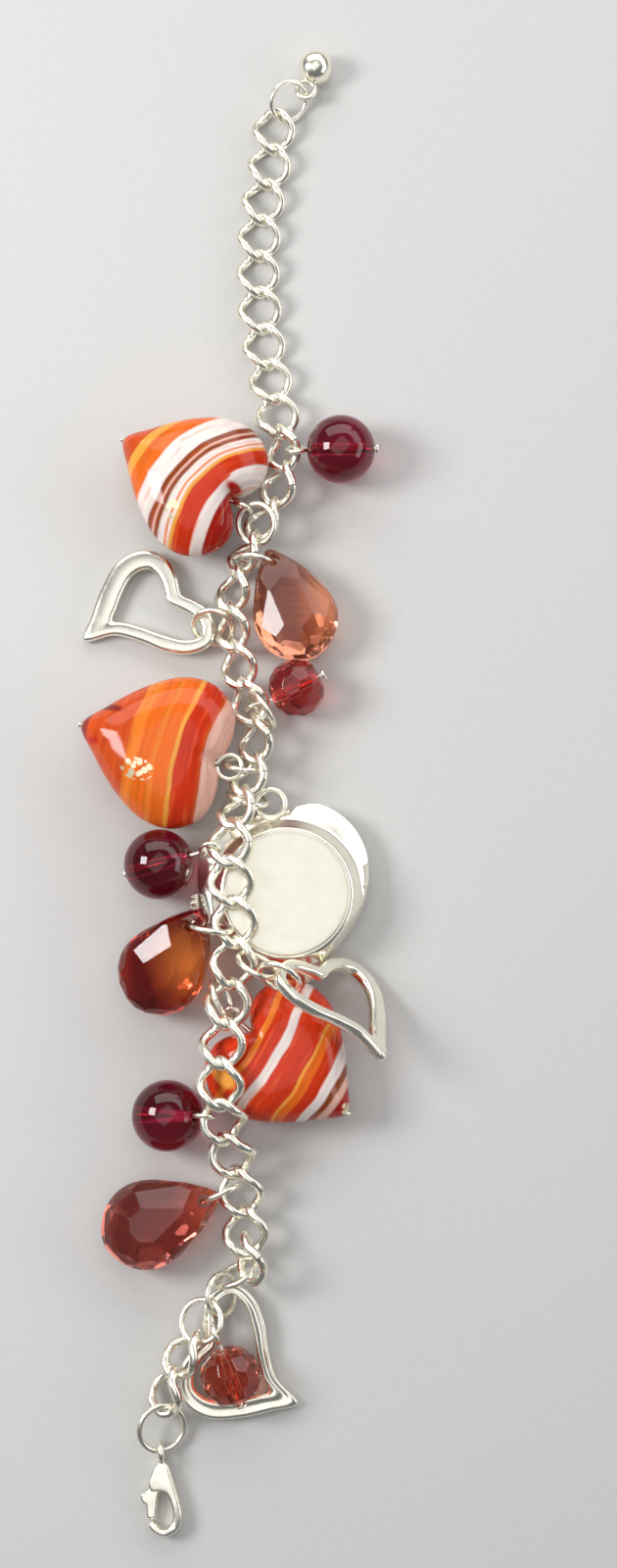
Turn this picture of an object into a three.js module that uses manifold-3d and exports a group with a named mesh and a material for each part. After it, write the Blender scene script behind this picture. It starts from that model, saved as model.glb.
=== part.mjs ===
// A charm bracelet with a heart-shaped watch, lying open on a flat surface.
// Millimetres. +Y runs along the bracelet from the clasp to the end ball, +X to the right
// of someone who looks down on it, +Z up from the surface that it lies on.
import * as THREE from 'three';
import { ConvexGeometry } from 'three/addons/geometries/ConvexGeometry.js';
import { ParametricGeometry } from 'three/addons/geometries/ParametricGeometry.js';
import { mergeVertices } from 'three/addons/utils/BufferGeometryUtils.js';
import Module from 'manifold-3d';

const wasm = await Module();
wasm.setup();

// ---------------------------------------------------------------- driving dimensions

const WIRE_SIDES = 5;            // flats round every wire
const RING_STEPS = 12;           // straight steps round a link or ring
const WELD = 1e-4;

const LINK = { halfLength: 3.2, halfWidth: 2.75, twist: 0.7, pinch: 0.08, wire: 0.55 };
const PITCH = 5.55;              // joint to joint of two links that touch
const EXTENDER_LINKS = 9;
const CLASP_LINKS = 2;
const JOIN_GAP = 0.6;            // how much closer the two chains' end links sit

const RING = { outer: 3.25, wire: 0.4 };
const EYE_PIN = { wire: 0.33, loop: 1.25, hole: 0.63, head: 0.8, headLength: 0.4, headGap: 0.15 };
const BEAD_RADIUS = 4.85;
const FACETED_RADIUS = 4;
const END_BALL = { radius: 2.5, loop: 1.3, loopWire: 0.35, loopAt: -3.7 };

const GLASS_HEART_THICKNESS = 10;
const OPEN_HEART_THICKNESS = 1.7;

const WATCH = {
  bore: 7.7,
  wellRadius: 8.3,
  wellDepth: 1.5,
  backRadius: 8.6,
  backPlug: 7.4,
  shoulder: 10.4,
  caseTop: 6.3,
  backTop: 7.1,
  turn: 10,
};
const CRYSTAL_DISC = { radius: 8.0, low: 0.2, high: 1.2 };
const DIAL_DISC = { radius: 7.4, low: 3.0, high: 3.5 };
const CROWN = { radius: 1.15, near: 12.2, far: 13.4, angle: 184, z: 2.0 };

// ---------------------------------------------------------------- where things lie

// The chain's route: x, y, z of the points that it passes, from the end ring downwards.
const CHAIN_ROUTE = [
  [-5.0, 99.6, 1.4],
  [-5.6, 91.5, 1.4],
  [-6.9, 85.3, 1.4],
  [-7.4, 74.0, 1.4],
  [-6.5, 63.2, 1.4],
  [-4.4, 52.2, 2.6],
  [-3.4, 44.4, 3.4],
  [-5.0, 40.0, 3.1],
  [-10.1, 30.2, 3.2],
  [-11.1, 25.1, 3.2],
  [-9.4, 14.0, 3.2],
  [-7.2, 7.0, 3.3],
  [-7.6, 1.6, 4.0],
  [-10.4, -5.6, 7.2],
  [-11.0, -11.5, 8.9],
  [-10.2, -18.0, 8.9],
  [-9.8, -23.8, 8.9],
  [-10.6, -29.3, 8.3],
  [-11.4, -35.0, 9.7],
  [-11.8, -41.5, 10.7],
  [-11.6, -46.6, 8.9],
  [-10.2, -51.4, 4.9],
  [-8.8, -58.0, 3.0],
  [-8.4, -64.9, 3.0],
  [-9.8, -70.6, 3.4],
];

// How far each charm link is rolled about the chain, in degrees: its right side rises when
// the roll is below zero. Read from the extender downwards.
const CHARM_ROLLS = [
  -50, -45, -50, -60, -50, -50, -45, -40, -50, -50, -50, -20,
  0, 0, 0, -10, -15, -10, 5, -15, -20, -15,
];

// The charm chain's last link stands on edge, slid back up into the one above it.
const LAST_LINK = { from: [-7.2, -68.2, 4.7], to: [-8.5, -61.8, 4.7], roll: -65 };

const CLASP_CHAIN_ROUTE = [
  [-15.2, -75.2, 4.2],
  [-18.5, -80.5, 3.8],
  [-19.7, -85.6, 2.7],
];

const CLASP_CHAIN_ROLL = -50;

// ---------------------------------------------------------------- solids

// Six times the volume inside a list of triangles: below zero where they face inwards.
function signedVolume(places, corners) {
  const at = (index) => new THREE.Vector3().fromArray(places, index * 3);
  let volume = 0;
  for (let k = 0; k < corners.length; k += 3) {
    volume += at(corners[k]).dot(at(corners[k + 1]).cross(at(corners[k + 2])));
  }
  return volume;
}

// Weld a geometry's corners, drop the flat triangles that the weld leaves and face it outwards.
function toSolid(geometry) {
  const bare = geometry.clone();
  bare.deleteAttribute('normal');
  bare.deleteAttribute('uv');
  const welded = mergeVertices(bare, WELD);
  const places = welded.getAttribute('position').array;
  const corners = welded.index.array;
  const kept = [];
  for (let k = 0; k < corners.length; k += 3) {
    const [a, b, c] = [corners[k], corners[k + 1], corners[k + 2]];
    if (a !== b && b !== c && c !== a) kept.push(a, b, c);
  }
  if (signedVolume(places, kept) < 0) kept.reverse();
  return new wasm.Manifold(new wasm.Mesh({
    numProp: 3,
    vertProperties: new Float32Array(places),
    triVerts: new Uint32Array(kept),
  }));
}

function toGeometry(solid) {
  const { vertProperties, triVerts } = solid.getMesh();
  const geometry = new THREE.BufferGeometry();
  geometry.setAttribute('position', new THREE.BufferAttribute(vertProperties, 3));
  geometry.setIndex(new THREE.BufferAttribute(triVerts, 1));
  return geometry;
}

// Join geometries into one solid.
function fuse(...geometries) {
  return geometries.map(toSolid).reduce((whole, next) => whole.add(next));
}

// Cut the later geometries out of the first.
function carve(solid, ...cutters) {
  return cutters.map(toSolid).reduce((whole, next) => whole.subtract(next), solid);
}

const vector = (values) => new THREE.Vector3(...values);
const moved = (geometry, x, y, z) => geometry.clone().translate(x, y, z);
const turned = (geometry, quaternion) => geometry.clone().applyQuaternion(quaternion);

// The turn that takes +Z to a direction.
function facing(direction) {
  return new THREE.Quaternion().setFromUnitVectors(new THREE.Vector3(0, 0, 1), vector(direction).normalize());
}

// A turn from a heading about +Z, a lift of the +X end and a roll about the heading, in degrees.
function pose(heading, lift, roll) {
  const [h, l, r] = [heading, lift, roll].map(THREE.MathUtils.degToRad);
  return new THREE.Quaternion().setFromEuler(new THREE.Euler(r, -l, h, 'ZYX'));
}

// A closed surface drawn by rings: point(turn, level) with turn and level from 0 to 1.
function surface(point, around, along) {
  const place = (u, v, target) => target.copy(point(u === 1 ? 0 : u, v));
  return new ParametricGeometry(place, around, along);
}

// A wire of round section along a closed line.
function closedWire(line, radius, steps = RING_STEPS, sides = WIRE_SIDES) {
  const nudge = 1e-3;
  const up = new THREE.Vector3(0, 0, 1);
  return new ParametricGeometry((u, v, target) => {
    const at = u === 1 ? 0 : u;
    const around = v === 1 ? 0 : v;
    const angle = around * 2 * Math.PI;
    const centre = line(at);
    const along = line(at + nudge).sub(line(at - nudge)).normalize();
    const side = new THREE.Vector3().crossVectors(along, up).normalize();
    const rise = new THREE.Vector3().crossVectors(side, along);
    target.copy(centre)
      .addScaledVector(side, radius * Math.cos(angle))
      .addScaledVector(rise, radius * Math.sin(angle));
  }, steps, sides);
}

function rod(radius, from, to, sides = 8) {
  const [start, end] = [vector(from), vector(to)];
  const along = end.clone().sub(start);
  const cylinder = new THREE.CylinderGeometry(radius, radius, along.length(), sides);
  cylinder.rotateX(Math.PI / 2);
  const middle = start.add(end).multiplyScalar(0.5);
  return moved(turned(cylinder, facing(along.toArray())), ...middle.toArray());
}

function torus(centreRadius, wire, steps = RING_STEPS, sides = WIRE_SIDES) {
  return new THREE.TorusGeometry(centreRadius, wire, sides, steps);
}

function disc(radius, low, high, sides = 32) {
  return rod(radius, [0, 0, low], [0, 0, high], sides);
}

// An outline through a few points, as a closed smooth curve.
function smoothOutline(points) {
  return new THREE.CatmullRomCurve3(points.map(([x, y]) => new THREE.Vector3(x, y, 0)), true);
}

function shapeFrom(points, steps) {
  const corners = smoothOutline(points).getPoints(steps).slice(0, steps);
  return new THREE.Shape(corners.map((corner) => new THREE.Vector2(corner.x, corner.y)));
}

// The two halves of a heart that is the same on both sides of the Y axis.
function mirrored(half) {
  const inner = half.filter(([x]) => x > 0);
  return [...half, ...inner.reverse().map(([x, y]) => [-x, y])];
}

// ---------------------------------------------------------------- chain

// A curb link along Y, its ends twisted so that each passes over and under its neighbours.
function linkLine(t) {
  const angle = t * 2 * Math.PI;
  const squeeze = 1 - LINK.pinch * Math.sin(2 * angle) ** 2;
  return new THREE.Vector3(
    LINK.halfWidth * Math.sin(angle) * squeeze,
    LINK.halfLength * Math.cos(angle) * squeeze,
    LINK.twist * Math.sin(2 * angle),
  );
}

function placedLink(from, to, roll) {
  const along = to.clone().sub(from).normalize();
  const side = new THREE.Vector3().crossVectors(along, new THREE.Vector3(0, 0, 1)).normalize();
  const up = new THREE.Vector3().crossVectors(side, along);
  const turn = new THREE.Matrix4().makeBasis(side, along, up);
  const middle = from.clone().add(to).multiplyScalar(0.5);
  const link = closedWire(linkLine, LINK.wire);
  link.rotateY(THREE.MathUtils.degToRad(roll));
  return link.applyMatrix4(turn.setPosition(middle));
}

// Joints a pitch apart along a smooth route, from a given distance down it.
function jointsAlong(route, start, count) {
  const curve = new THREE.CatmullRomCurve3(route.map(vector));
  curve.arcLengthDivisions = 2000;
  const length = curve.getLength();
  const joints = [];
  for (let k = 0; k <= count; k += 1) {
    joints.push(curve.getPointAt(Math.min(1, (start + k * PITCH) / length)));
  }
  return joints;
}

function linksBetween(joints, rollOf) {
  const links = [];
  for (let k = 0; k + 1 < joints.length; k += 1) {
    links.push(placedLink(joints[k + 1], joints[k], rollOf(k)));
  }
  return links;
}

// ---------------------------------------------------------------- beads, pins and stones

// A wire through a bead along +X: a flat head beyond one end, a bare neck and a closed eye beyond
// the other.
function eyePin(toHead, toEye, loop, neck) {
  const eyeAt = toEye + neck + loop;
  const headAt = -toHead - EYE_PIN.headGap;
  const stem = rod(EYE_PIN.wire, [headAt, 0, 0], [eyeAt - loop, 0, 0], WIRE_SIDES);
  const eye = moved(torus(loop, EYE_PIN.wire), eyeAt, 0, 0);
  const head = rod(EYE_PIN.head, [headAt - EYE_PIN.headLength, 0, 0], [headAt, 0, 0]);
  return toGeometry(fuse(stem, eye, head));
}

function drilled(solid, reach) {
  return toGeometry(carve(solid, rod(EYE_PIN.hole, [-reach - 1, 0, 0], [reach + 1, 0, 0], 6)));
}

function roundBead(radius) {
  return drilled(toSolid(new THREE.SphereGeometry(radius, 14, 9)), radius);
}

// A bead with a small flat at each end of its hole and three staggered rows of facets.
function facetedBead(radius) {
  const rows = [[-0.86, 0.5, 0], [-0.38, 0.95, 0.5], [0.38, 0.95, 0], [0.86, 0.5, 0.5]];
  const perRow = 8;
  const corners = [];
  for (const [along, out, shift] of rows) {
    for (let k = 0; k < perRow; k += 1) {
      const angle = ((k + shift) / perRow) * 2 * Math.PI;
      corners.push(new THREE.Vector3(
        along * radius, out * radius * Math.cos(angle), out * radius * Math.sin(angle),
      ));
    }
  }
  return drilled(toSolid(new ConvexGeometry(corners)), radius);
}

// A flat pear-shaped stone, its narrow end towards +X, with a table and rows of facets.
const BRIOLETTE = { length: 16.8, width: 11.8, thickness: 7.4, drillFrom: 2.2, drill: 0.95 };

function pearHalfWidth(along) {
  // 0 at the narrow end, 1 at the round end.
  return (BRIOLETTE.width / 2) * Math.sin(Math.PI * along ** 1.25) ** 0.72;
}

function briolette() {
  const { length, thickness, drillFrom, drill } = BRIOLETTE;
  const levels = [[1, 0.5, 0], [0.72, 2.4, 0.5], [0.36, thickness / 2, 0]];
  const stations = [0, 0.1, 0.28, 0.5, 0.72, 0.9, 1];
  const middle = 0.58;
  const corners = [];
  for (const [scale, height, shift] of levels) {
    for (let k = 0; k < stations.length; k += 1) {
      const at = Math.min(1, stations[k] + shift * 0.1);
      const along = middle + (at - middle) * scale;
      const half = Math.max(0.25, pearHalfWidth(Math.min(0.995, at)) * scale);
      for (const side of [-1, 1]) {
        for (const face of [-1, 1]) {
          corners.push(new THREE.Vector3(length * (0.5 - along), side * half, face * height));
        }
      }
    }
  }
  const stone = toSolid(new ConvexGeometry(corners));
  const holeAt = length / 2 - drillFrom;
  return toGeometry(carve(stone, rod(drill, [holeAt, 0, -thickness], [holeAt, 0, thickness])));
}

// ---------------------------------------------------------------- hearts

// Half the outline of a glass heart, its tip at the origin and its notch up the Y axis.
const GLASS_HEART_HALF = [
  [0, 0.0],
  [3.2, 2.5],
  [7.5, 7.0],
  [10.1, 11.6],
  [10.2, 15.8],
  [7.6, 19.3],
  [4.2, 20.1],
  [1.6, 18.9],
  [0, 17.6],
];
const GLASS_HEART_MIDDLE = 11.6;
const GLASS_HEART_NOTCH = 17.6;

// A puffy heart along +X, its middle at the origin, drilled from tip to notch.
function glassHeart(scale) {
  const outline = smoothOutline(mirrored(GLASS_HEART_HALF));
  const body = surface((turn, level) => {
    const rise = (level - 0.5) * Math.PI;
    const point = outline.getPointAt(turn);
    const spread = Math.cos(rise) ** 0.75;
    return new THREE.Vector3(
      scale * (point.y - GLASS_HEART_MIDDLE) * spread,
      -scale * point.x * spread,
      (GLASS_HEART_THICKNESS / 2) * Math.sin(rise),
    );
  }, 26, 8);
  return drilled(toSolid(body), 12 * scale);
}

// The cast open heart: a lopsided band with a hooked tip at the origin, long lobe along +X.
// Each row is one section of the band: its outer edge and its inner edge.
const OPEN_HEART = [
  { outer: [0, 0], inner: [4.3, 2.8] },
  { outer: [2.6, 7.4], inner: [5.3, 6.6] },
  { outer: [4.8, 11.9], inner: [6.6, 9.2] },
  { outer: [8.8, 12.8], inner: [8.6, 10.2] },
  { outer: [12.1, 11.1], inner: [10.6, 8.9] },
  { outer: [13.5, 7.3], inner: [11.8, 5.9] },
  { outer: [17.2, 4.8], inner: [15.6, 3.4] },
  { outer: [18.8, 1.8], inner: [17.0, 1.6] },
  { outer: [18.2, -0.9], inner: [16.6, 0.2] },
  { outer: [15.4, -2.1], inner: [14.8, -0.1] },
  { outer: [11.4, -1.7], inner: [11.2, 0.9] },
  { outer: [5.5, 0.3], inner: [6.9, 2.2] },
];

// The band's cross-section: how far in from the outer edge, and the height as a share of half.
const BAND_SECTION = [[0, 0], [0.22, 1], [0.78, 1], [1, 0], [0.78, -1], [0.22, -1]];

function openHeart() {
  const outer = smoothOutline(OPEN_HEART.map((row) => row.outer));
  const inner = smoothOutline(OPEN_HEART.map((row) => row.inner));
  const body = surface((turn, level) => {
    const [across, height] = BAND_SECTION[Math.round(level * BAND_SECTION.length) % BAND_SECTION.length];
    const point = outer.getPoint(turn).lerp(inner.getPoint(turn), across);
    return point.setZ((height * OPEN_HEART_THICKNESS) / 2);
  }, 30, BAND_SECTION.length);
  return toGeometry(toSolid(body));
}

// ---------------------------------------------------------------- watch

// Half the case's outline about the middle of its round back, notch up, tip down.
const CASE_HALF = [
  [0, -12.7],
  [2.9, -10.7],
  [6.5, -7.5],
  [9.6, -4.2],
  [11.6, 0.2],
  [11.8, 4.6],
  [10.1, 8.8],
  [6.4, 11.8],
  [2.4, 11.7],
  [0, 10.7],
];

// Height of each ring of the case, how far it sits in from the outline, and its largest radius.
const CASE_LEVELS = [
  { z: 0, inset: 0.9, limit: 20 },
  { z: 0.9, inset: 0, limit: 20 },
  { z: 3.2, inset: 0, limit: 20 },
  { z: 4.4, inset: 0.35, limit: WATCH.shoulder },
  { z: WATCH.caseTop, inset: 0.7, limit: 9.0 },
];

function caseBody() {
  const outline = smoothOutline(mirrored(CASE_HALF));
  const steps = 40;
  const rings = CASE_LEVELS.length;
  const shell = surface((turn, level) => {
    const row = Math.round(level * (rings + 1));
    const { z, inset, limit } = CASE_LEVELS[THREE.MathUtils.clamp(row - 1, 0, rings - 1)];
    const point = outline.getPointAt(turn);
    const closed = row === 0 || row === rings + 1;
    const radius = closed ? 0 : Math.min(point.length() - inset, limit);
    return point.setLength(radius || 1e-9).setZ(z);
  }, steps, rings + 1);
  return shell;
}

const CASE_EYE = { at: 13.1, centreRadius: 2.0, wire: 0.45, z: 2.6 };

function watchCase() {
  const eye = moved(torus(CASE_EYE.centreRadius, CASE_EYE.wire, 14), 0, CASE_EYE.at, CASE_EYE.z);
  const bore = disc(WATCH.bore, -1, WATCH.caseTop + 1);
  const well = disc(WATCH.wellRadius, -1, WATCH.wellDepth);
  return toGeometry(carve(fuse(caseBody(), eye), bore, well));
}

function watchBack() {
  const lid = disc(WATCH.backRadius, WATCH.caseTop + 0.3, WATCH.backTop);
  const plug = disc(WATCH.backPlug, WATCH.caseTop - 0.6, WATCH.caseTop + 0.4);
  return toGeometry(fuse(lid, plug));
}

function hand(length, width, low, high) {
  const outline = [[-width, -1.2], [width, -1.2], [width * 0.7, length], [-width * 0.7, length]];
  const shape = new THREE.Shape(outline.map(([x, y]) => new THREE.Vector2(x, y)));
  const blade = new THREE.ExtrudeGeometry(shape, { depth: high - low, bevelEnabled: false });
  return toGeometry(fuse(blade.translate(0, 0, low), disc(0.8, low, high, 12)));
}

// The crown stands just clear of the case's side, its axis along +X from the case outwards.
function crown() {
  const { radius, near, far } = CROWN;
  return toGeometry(toSolid(rod(radius, [near, 0, 0], [far, 0, 0], 12)));
}

// ---------------------------------------------------------------- clasp

// The clasp lies flat with its eye at the origin and its hook towards -Y.
const CLASP = {
  thickness: 2.2,
  eyeRadius: 1.15,
  eyeWire: 0.42,
  eyeHeight: 1.6,
  hub: [-0.95, -3.9],
  hubRadius: 0.95,
  pinRadius: 0.4,
  pinHole: 0.62,
  slotLow: 0.42,
  slotHigh: 1.78,
  leverLow: 0.65,
  leverHigh: 1.55,
  leverReach: -8.45,
  hookEnd: -8.75,
};

const CLASP_OUTER = [
  [0.65, -1.2],
  [1.35, -3.4],
  [2.1, -6.0],
  [2.45, -8.4],
  [1.8, -10.3],
  [0.1, -10.95],
  [-1.6, -10.2],
  [-2.35, -8.4],
  [-2.1, -6.0],
  [-1.5, -3.4],
  [-0.65, -1.2],
];
const CLASP_INNER = [
  [0.15, -5.0],
  [0.95, -6.4],
  [1.25, -8.2],
  [0.9, -9.5],
  [0, -9.9],
  [-0.8, -9.4],
  [-1.1, -8.2],
  [-0.8, -6.4],
];

function slab(outline, low, high, steps) {
  const plate = new THREE.ExtrudeGeometry(shapeFrom(outline, steps), {
    depth: high - low,
    bevelEnabled: false,
  });
  return plate.translate(0, 0, low);
}

function box(low, high) {
  const size = vector(high).sub(vector(low));
  const middle = vector(high).add(vector(low)).multiplyScalar(0.5);
  return moved(new THREE.BoxGeometry(...size.toArray()), ...middle.toArray());
}

function claspBody() {
  const { thickness, hub, hookEnd, slotLow, slotHigh, hubRadius } = CLASP;
  const eye = turned(torus(CLASP.eyeRadius, CLASP.eyeWire), facing([1, 0, 0]));
  const plate = slab(CLASP_OUTER, 0, thickness, 28);
  const pin = rod(CLASP.pinRadius, [...hub, 0.1], [...hub, thickness - 0.1]);
  const window = box([-4, hookEnd, -1], [-0.2, hub[1] - 1.1, thickness + 1]);
  const hubRoom = rod(hubRadius + 0.25, [...hub, slotLow], [...hub, slotHigh], 14);
  const sideRoom = box([-4, hub[1] - 2, slotLow], [-0.95, hub[1] + 1.2, slotHigh]);
  const lowRoom = box([-4, hub[1] - 2, slotLow], [0.25, hub[1], slotHigh]);
  const inner = slab(CLASP_INNER, -1, thickness + 1, 20);
  const body = carve(toSolid(plate), inner, window, hubRoom, sideRoom, lowRoom);
  return toGeometry(body.add(toSolid(pin)).add(toSolid(moved(eye, 0, 0, CLASP.eyeHeight))));
}

// The sprung lever: a hub on the clasp's pin, a bar down to the hook and a thumb tab outside.
const LEVER_BAR = [
  [-0.25, -4.3],
  [-0.75, -6.3],
  [-0.95, -8.3],
  [-1.35, CLASP.leverReach],
  [-1.8, -8.2],
  [-1.85, -6.6],
  [-2.9, -6.0],
  [-3.1, -5.3],
  [-2.3, -4.9],
  [-1.6, -4.2],
];

function claspLever() {
  const { hub, leverLow, leverHigh } = CLASP;
  const bar = slab(LEVER_BAR, leverLow, leverHigh, 24);
  const ring = rod(CLASP.hubRadius, [...hub, leverLow], [...hub, leverHigh], 14);
  const hole = rod(CLASP.pinHole, [...hub, -1], [...hub, CLASP.thickness + 1], 10);
  return toGeometry(carve(fuse(bar, ring), hole));
}

// ---------------------------------------------------------------- assembly

const SILVER = { color: 0xd8d6cc, roughness: 0.22, metalness: 1 };
const STEEL = { color: 0xb9b6ae, roughness: 0.35, metalness: 1 };
const STRIPED_GLASS = { color: 0xe2481f, roughness: 0.12, metalness: 0 };
const PLUM_GLASS = { color: 0x5c1030, roughness: 0.08, metalness: 0 };
const AMBER_GLASS = { color: 0xb8452c, roughness: 0.06, metalness: 0 };
const RED_GLASS = { color: 0xb0202a, roughness: 0.08, metalness: 0 };
const CRYSTAL = { color: 0xe8eef0, roughness: 0.05, metalness: 0 };
const DIAL_PAINT = { color: 0xf2efe6, roughness: 0.55, metalness: 0 };

const bracelet = new THREE.Group();

function add(name, geometry, look, place = [0, 0, 0], turn = new THREE.Quaternion()) {
  const mesh = new THREE.Mesh(geometry, new THREE.MeshStandardMaterial(look));
  mesh.name = name;
  mesh.position.copy(vector(place));
  mesh.quaternion.copy(turn);
  bracelet.add(mesh);
}

// Chains. Extender links lie flat; the charms pull the other links over to one side or the other.
const extenderJoints = jointsAlong(CHAIN_ROUTE, 0, EXTENDER_LINKS);
const charmStart = EXTENDER_LINKS * PITCH - JOIN_GAP;
const charmJoints = jointsAlong(CHAIN_ROUTE, charmStart, CHARM_ROLLS.length);
const claspJoints = jointsAlong(CLASP_CHAIN_ROUTE, 0, CLASP_LINKS);
const lastLink = placedLink(vector(LAST_LINK.from), vector(LAST_LINK.to), LAST_LINK.roll);
const extenderLinks = linksBetween(extenderJoints, () => 0);
const charmLinks = linksBetween(charmJoints, (k) => CHARM_ROLLS[k]);
const claspLinks = linksBetween(claspJoints, () => CLASP_CHAIN_ROLL);
add('extender_chain', toGeometry(fuse(...extenderLinks)), SILVER);
add('charm_chain', toGeometry(fuse(...charmLinks, lastLink)), SILVER);
add('clasp_chain', toGeometry(fuse(...claspLinks)), SILVER);

// Jump rings: where each one's middle lies and which way its axis points.
const RINGS = [
  { name: 'end_ring', at: [-2.9, 100.8, 2.6], axis: [0.46, -0.59, 0.66] },
  { name: 'clasp_ring', at: [-19.6, -87.4, 2.4], axis: [0.36, -0.25, 0.9], outer: 3.55 },
  { name: 'lower_ring_1', at: [-9.7, -67.2, 3.1], axis: [-0.43, 0.84, 0.34] },
  { name: 'lower_ring_2', at: [-11.7, -70.0, 2.6], axis: [0.77, -0.02, 0.64] },
  { name: 'lower_ring_3', at: [-14.4, -73.3, 3.8], axis: [-0.32, 0.22, 0.92] },
  { name: 'glass_heart_1_ring', at: [-7.4, 36.4, 5.0], axis: [-0.44, -0.27, 0.86] },
  { name: 'briolette_1_ring', at: [-7.5, 31.4, 3.7], axis: [0.19, 0.98, 0.02] },
  { name: 'open_heart_1_ring', at: [-13.5, 22.0, 2.5], axis: [-0.2, -0.7, 0.68] },
  { name: 'glass_heart_2_ring', at: [-8.9, 2.2, 3.4], axis: [0.12, 0.91, 0.4] },
  { name: 'small_bead_1_ring', at: [-6.5, 9.7, 5.1], axis: [-0.81, -0.57, 0.15] },
  { name: 'watch_ring', at: [-8.4, -2.4, 3.4], axis: [0.24, 0.89, 0.39] },
  { name: 'briolette_2_ring', at: [-13.3, -20.9, 8.6], axis: [0.16, 0.96, 0.25] },
  { name: 'open_heart_2_ring_1', at: [-6.9, -26.1, 9.7], axis: [0.43, 0.79, 0.44] },
  { name: 'open_heart_2_ring_2', at: [-3.9, -27.8, 11.4], axis: [-0.37, -0.8, 0.48] },
  { name: 'glass_heart_3_ring', at: [-11.7, -30.4, 6.5], axis: [0.88, 0.39, 0.28] },
  { name: 'briolette_3_ring', at: [-11.7, -56.4, 3.7], axis: [0.42, -0.91, 0] },
];
for (const { name, at, axis, outer = RING.outer } of RINGS) {
  add(name, toGeometry(toSolid(torus(outer - RING.wire, RING.wire))), SILVER, at, facing(axis));
}

// End ball on its short loop.
function endBall() {
  const loop = moved(torus(END_BALL.loop, END_BALL.loopWire), 0, END_BALL.loopAt, 0);
  return toGeometry(fuse(new THREE.SphereGeometry(END_BALL.radius, 14, 10), loop));
}
add('end_ball', endBall(), SILVER, [1.0, 106.1, END_BALL.radius], pose(-22, 0, 0));

// Beads on eye pins: the bead's middle and the heading of the pin from the bead to the chain.
const PLUM_BEADS = [
  { name: 'plum_bead_1', at: [4.6, 47.3, 4.9], heading: 180, lift: -2, roll: 59, neck: 0.3 },
  { name: 'plum_bead_2', at: [-20.6, -11.9, 4.9], heading: 13, lift: 23, roll: 52, neck: 1.9 },
  { name: 'plum_bead_3', at: [-19.1, -46.1, 4.9], heading: -1, lift: 37, roll: 84, neck: 0.3 },
];
for (const { name, at, heading, lift, roll, neck } of PLUM_BEADS) {
  const turn = pose(heading, lift, roll);
  add(name, roundBead(BEAD_RADIUS), PLUM_GLASS, at, turn);
  add(`${name}_pin`, eyePin(BEAD_RADIUS, BEAD_RADIUS, EYE_PIN.loop, neck), SILVER, at, turn);
}

const FACETED_BEADS = [
  { name: 'small_bead_1', at: [-1.7, 13.0, 3.9], heading: 205, lift: -12, roll: 108, neck: 1.2 },
  { name: 'small_bead_2', at: [-10.4, -80.4, 3.9], heading: 110, lift: 10, roll: 90, neck: 0.8 },
];
for (const { name, at, heading, lift, roll, neck } of FACETED_BEADS) {
  const turn = pose(heading, lift, roll);
  add(name, facetedBead(FACETED_RADIUS), RED_GLASS, at, turn);
  add(`${name}_pin`, eyePin(FACETED_RADIUS, FACETED_RADIUS, EYE_PIN.loop, neck), SILVER, at, turn);
}

// Briolettes: the stone's middle and the heading of its narrow end.
const BRIOLETTES = [
  { name: 'briolette_1', at: [-2.6, 25.1, 3.7], heading: 112, lift: 0 },
  { name: 'briolette_2', at: [-19.2, -25.2, 5.9], heading: 54, lift: 20 },
  { name: 'briolette_3', at: [-19.8, -59.8, 3.7], heading: 22, lift: 0 },
];
for (const { name, at, heading, lift } of BRIOLETTES) {
  add(name, briolette(), AMBER_GLASS, at, pose(heading, lift, 0));
}

// Glass hearts: where the tip is, the heading from tip to notch, the size, and the pin's eye:
// its radius, the length of bare wire below it and its roll about the pin.
const GLASS_HEARTS = [
  { name: 'glass_heart_1', tip: [-26.2, 48.6], heading: -30, scale: 1.0, loop: 1.25, neck: 0.8, roll: 90 },
  { name: 'glass_heart_2', tip: [-31.6, 7.6], heading: -16, scale: 1.03, loop: 1.7, neck: 1.6, roll: 0 },
  { name: 'glass_heart_3', tip: [5.2, -45.8], heading: 140, scale: 0.98, loop: 1.25, neck: 1.8, roll: 150 },
];
for (const { name, tip, heading, scale, loop, neck, roll } of GLASS_HEARTS) {
  const turn = pose(heading, 0, 0);
  const reach = vector([GLASS_HEART_MIDDLE * scale, 0, 0]).applyQuaternion(turn);
  const at = [tip[0] + reach.x, tip[1] + reach.y, GLASS_HEART_THICKNESS / 2];
  add(name, glassHeart(scale), STRIPED_GLASS, at, turn);
  const toTip = GLASS_HEART_MIDDLE * scale;
  const toNotch = GLASS_HEART_NOTCH * scale - toTip;
  const pin = eyePin(toTip, toNotch, loop, neck);
  add(`${name}_pin`, pin, SILVER, at, pose(heading, 0, roll));
}

// Open hearts: the tip, then heading, lift and roll of the long lobe's direction.
const OPEN_HEARTS = [
  { name: 'open_heart_1', tip: [-32.1, 20.6, 0.86], heading: 0, lift: 4, roll: 0 },
  { name: 'open_heart_2', tip: [10.2, -38.7, 9.1], heading: 142, lift: 10, roll: 230 },
  { name: 'open_heart_3', tip: [-1.5, -84.6, 0.86], heading: 121, lift: 4, roll: 0 },
];
for (const { name, tip, heading, lift, roll } of OPEN_HEARTS) {
  add(name, openHeart(), SILVER, tip, pose(heading, lift, roll));
}

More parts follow.
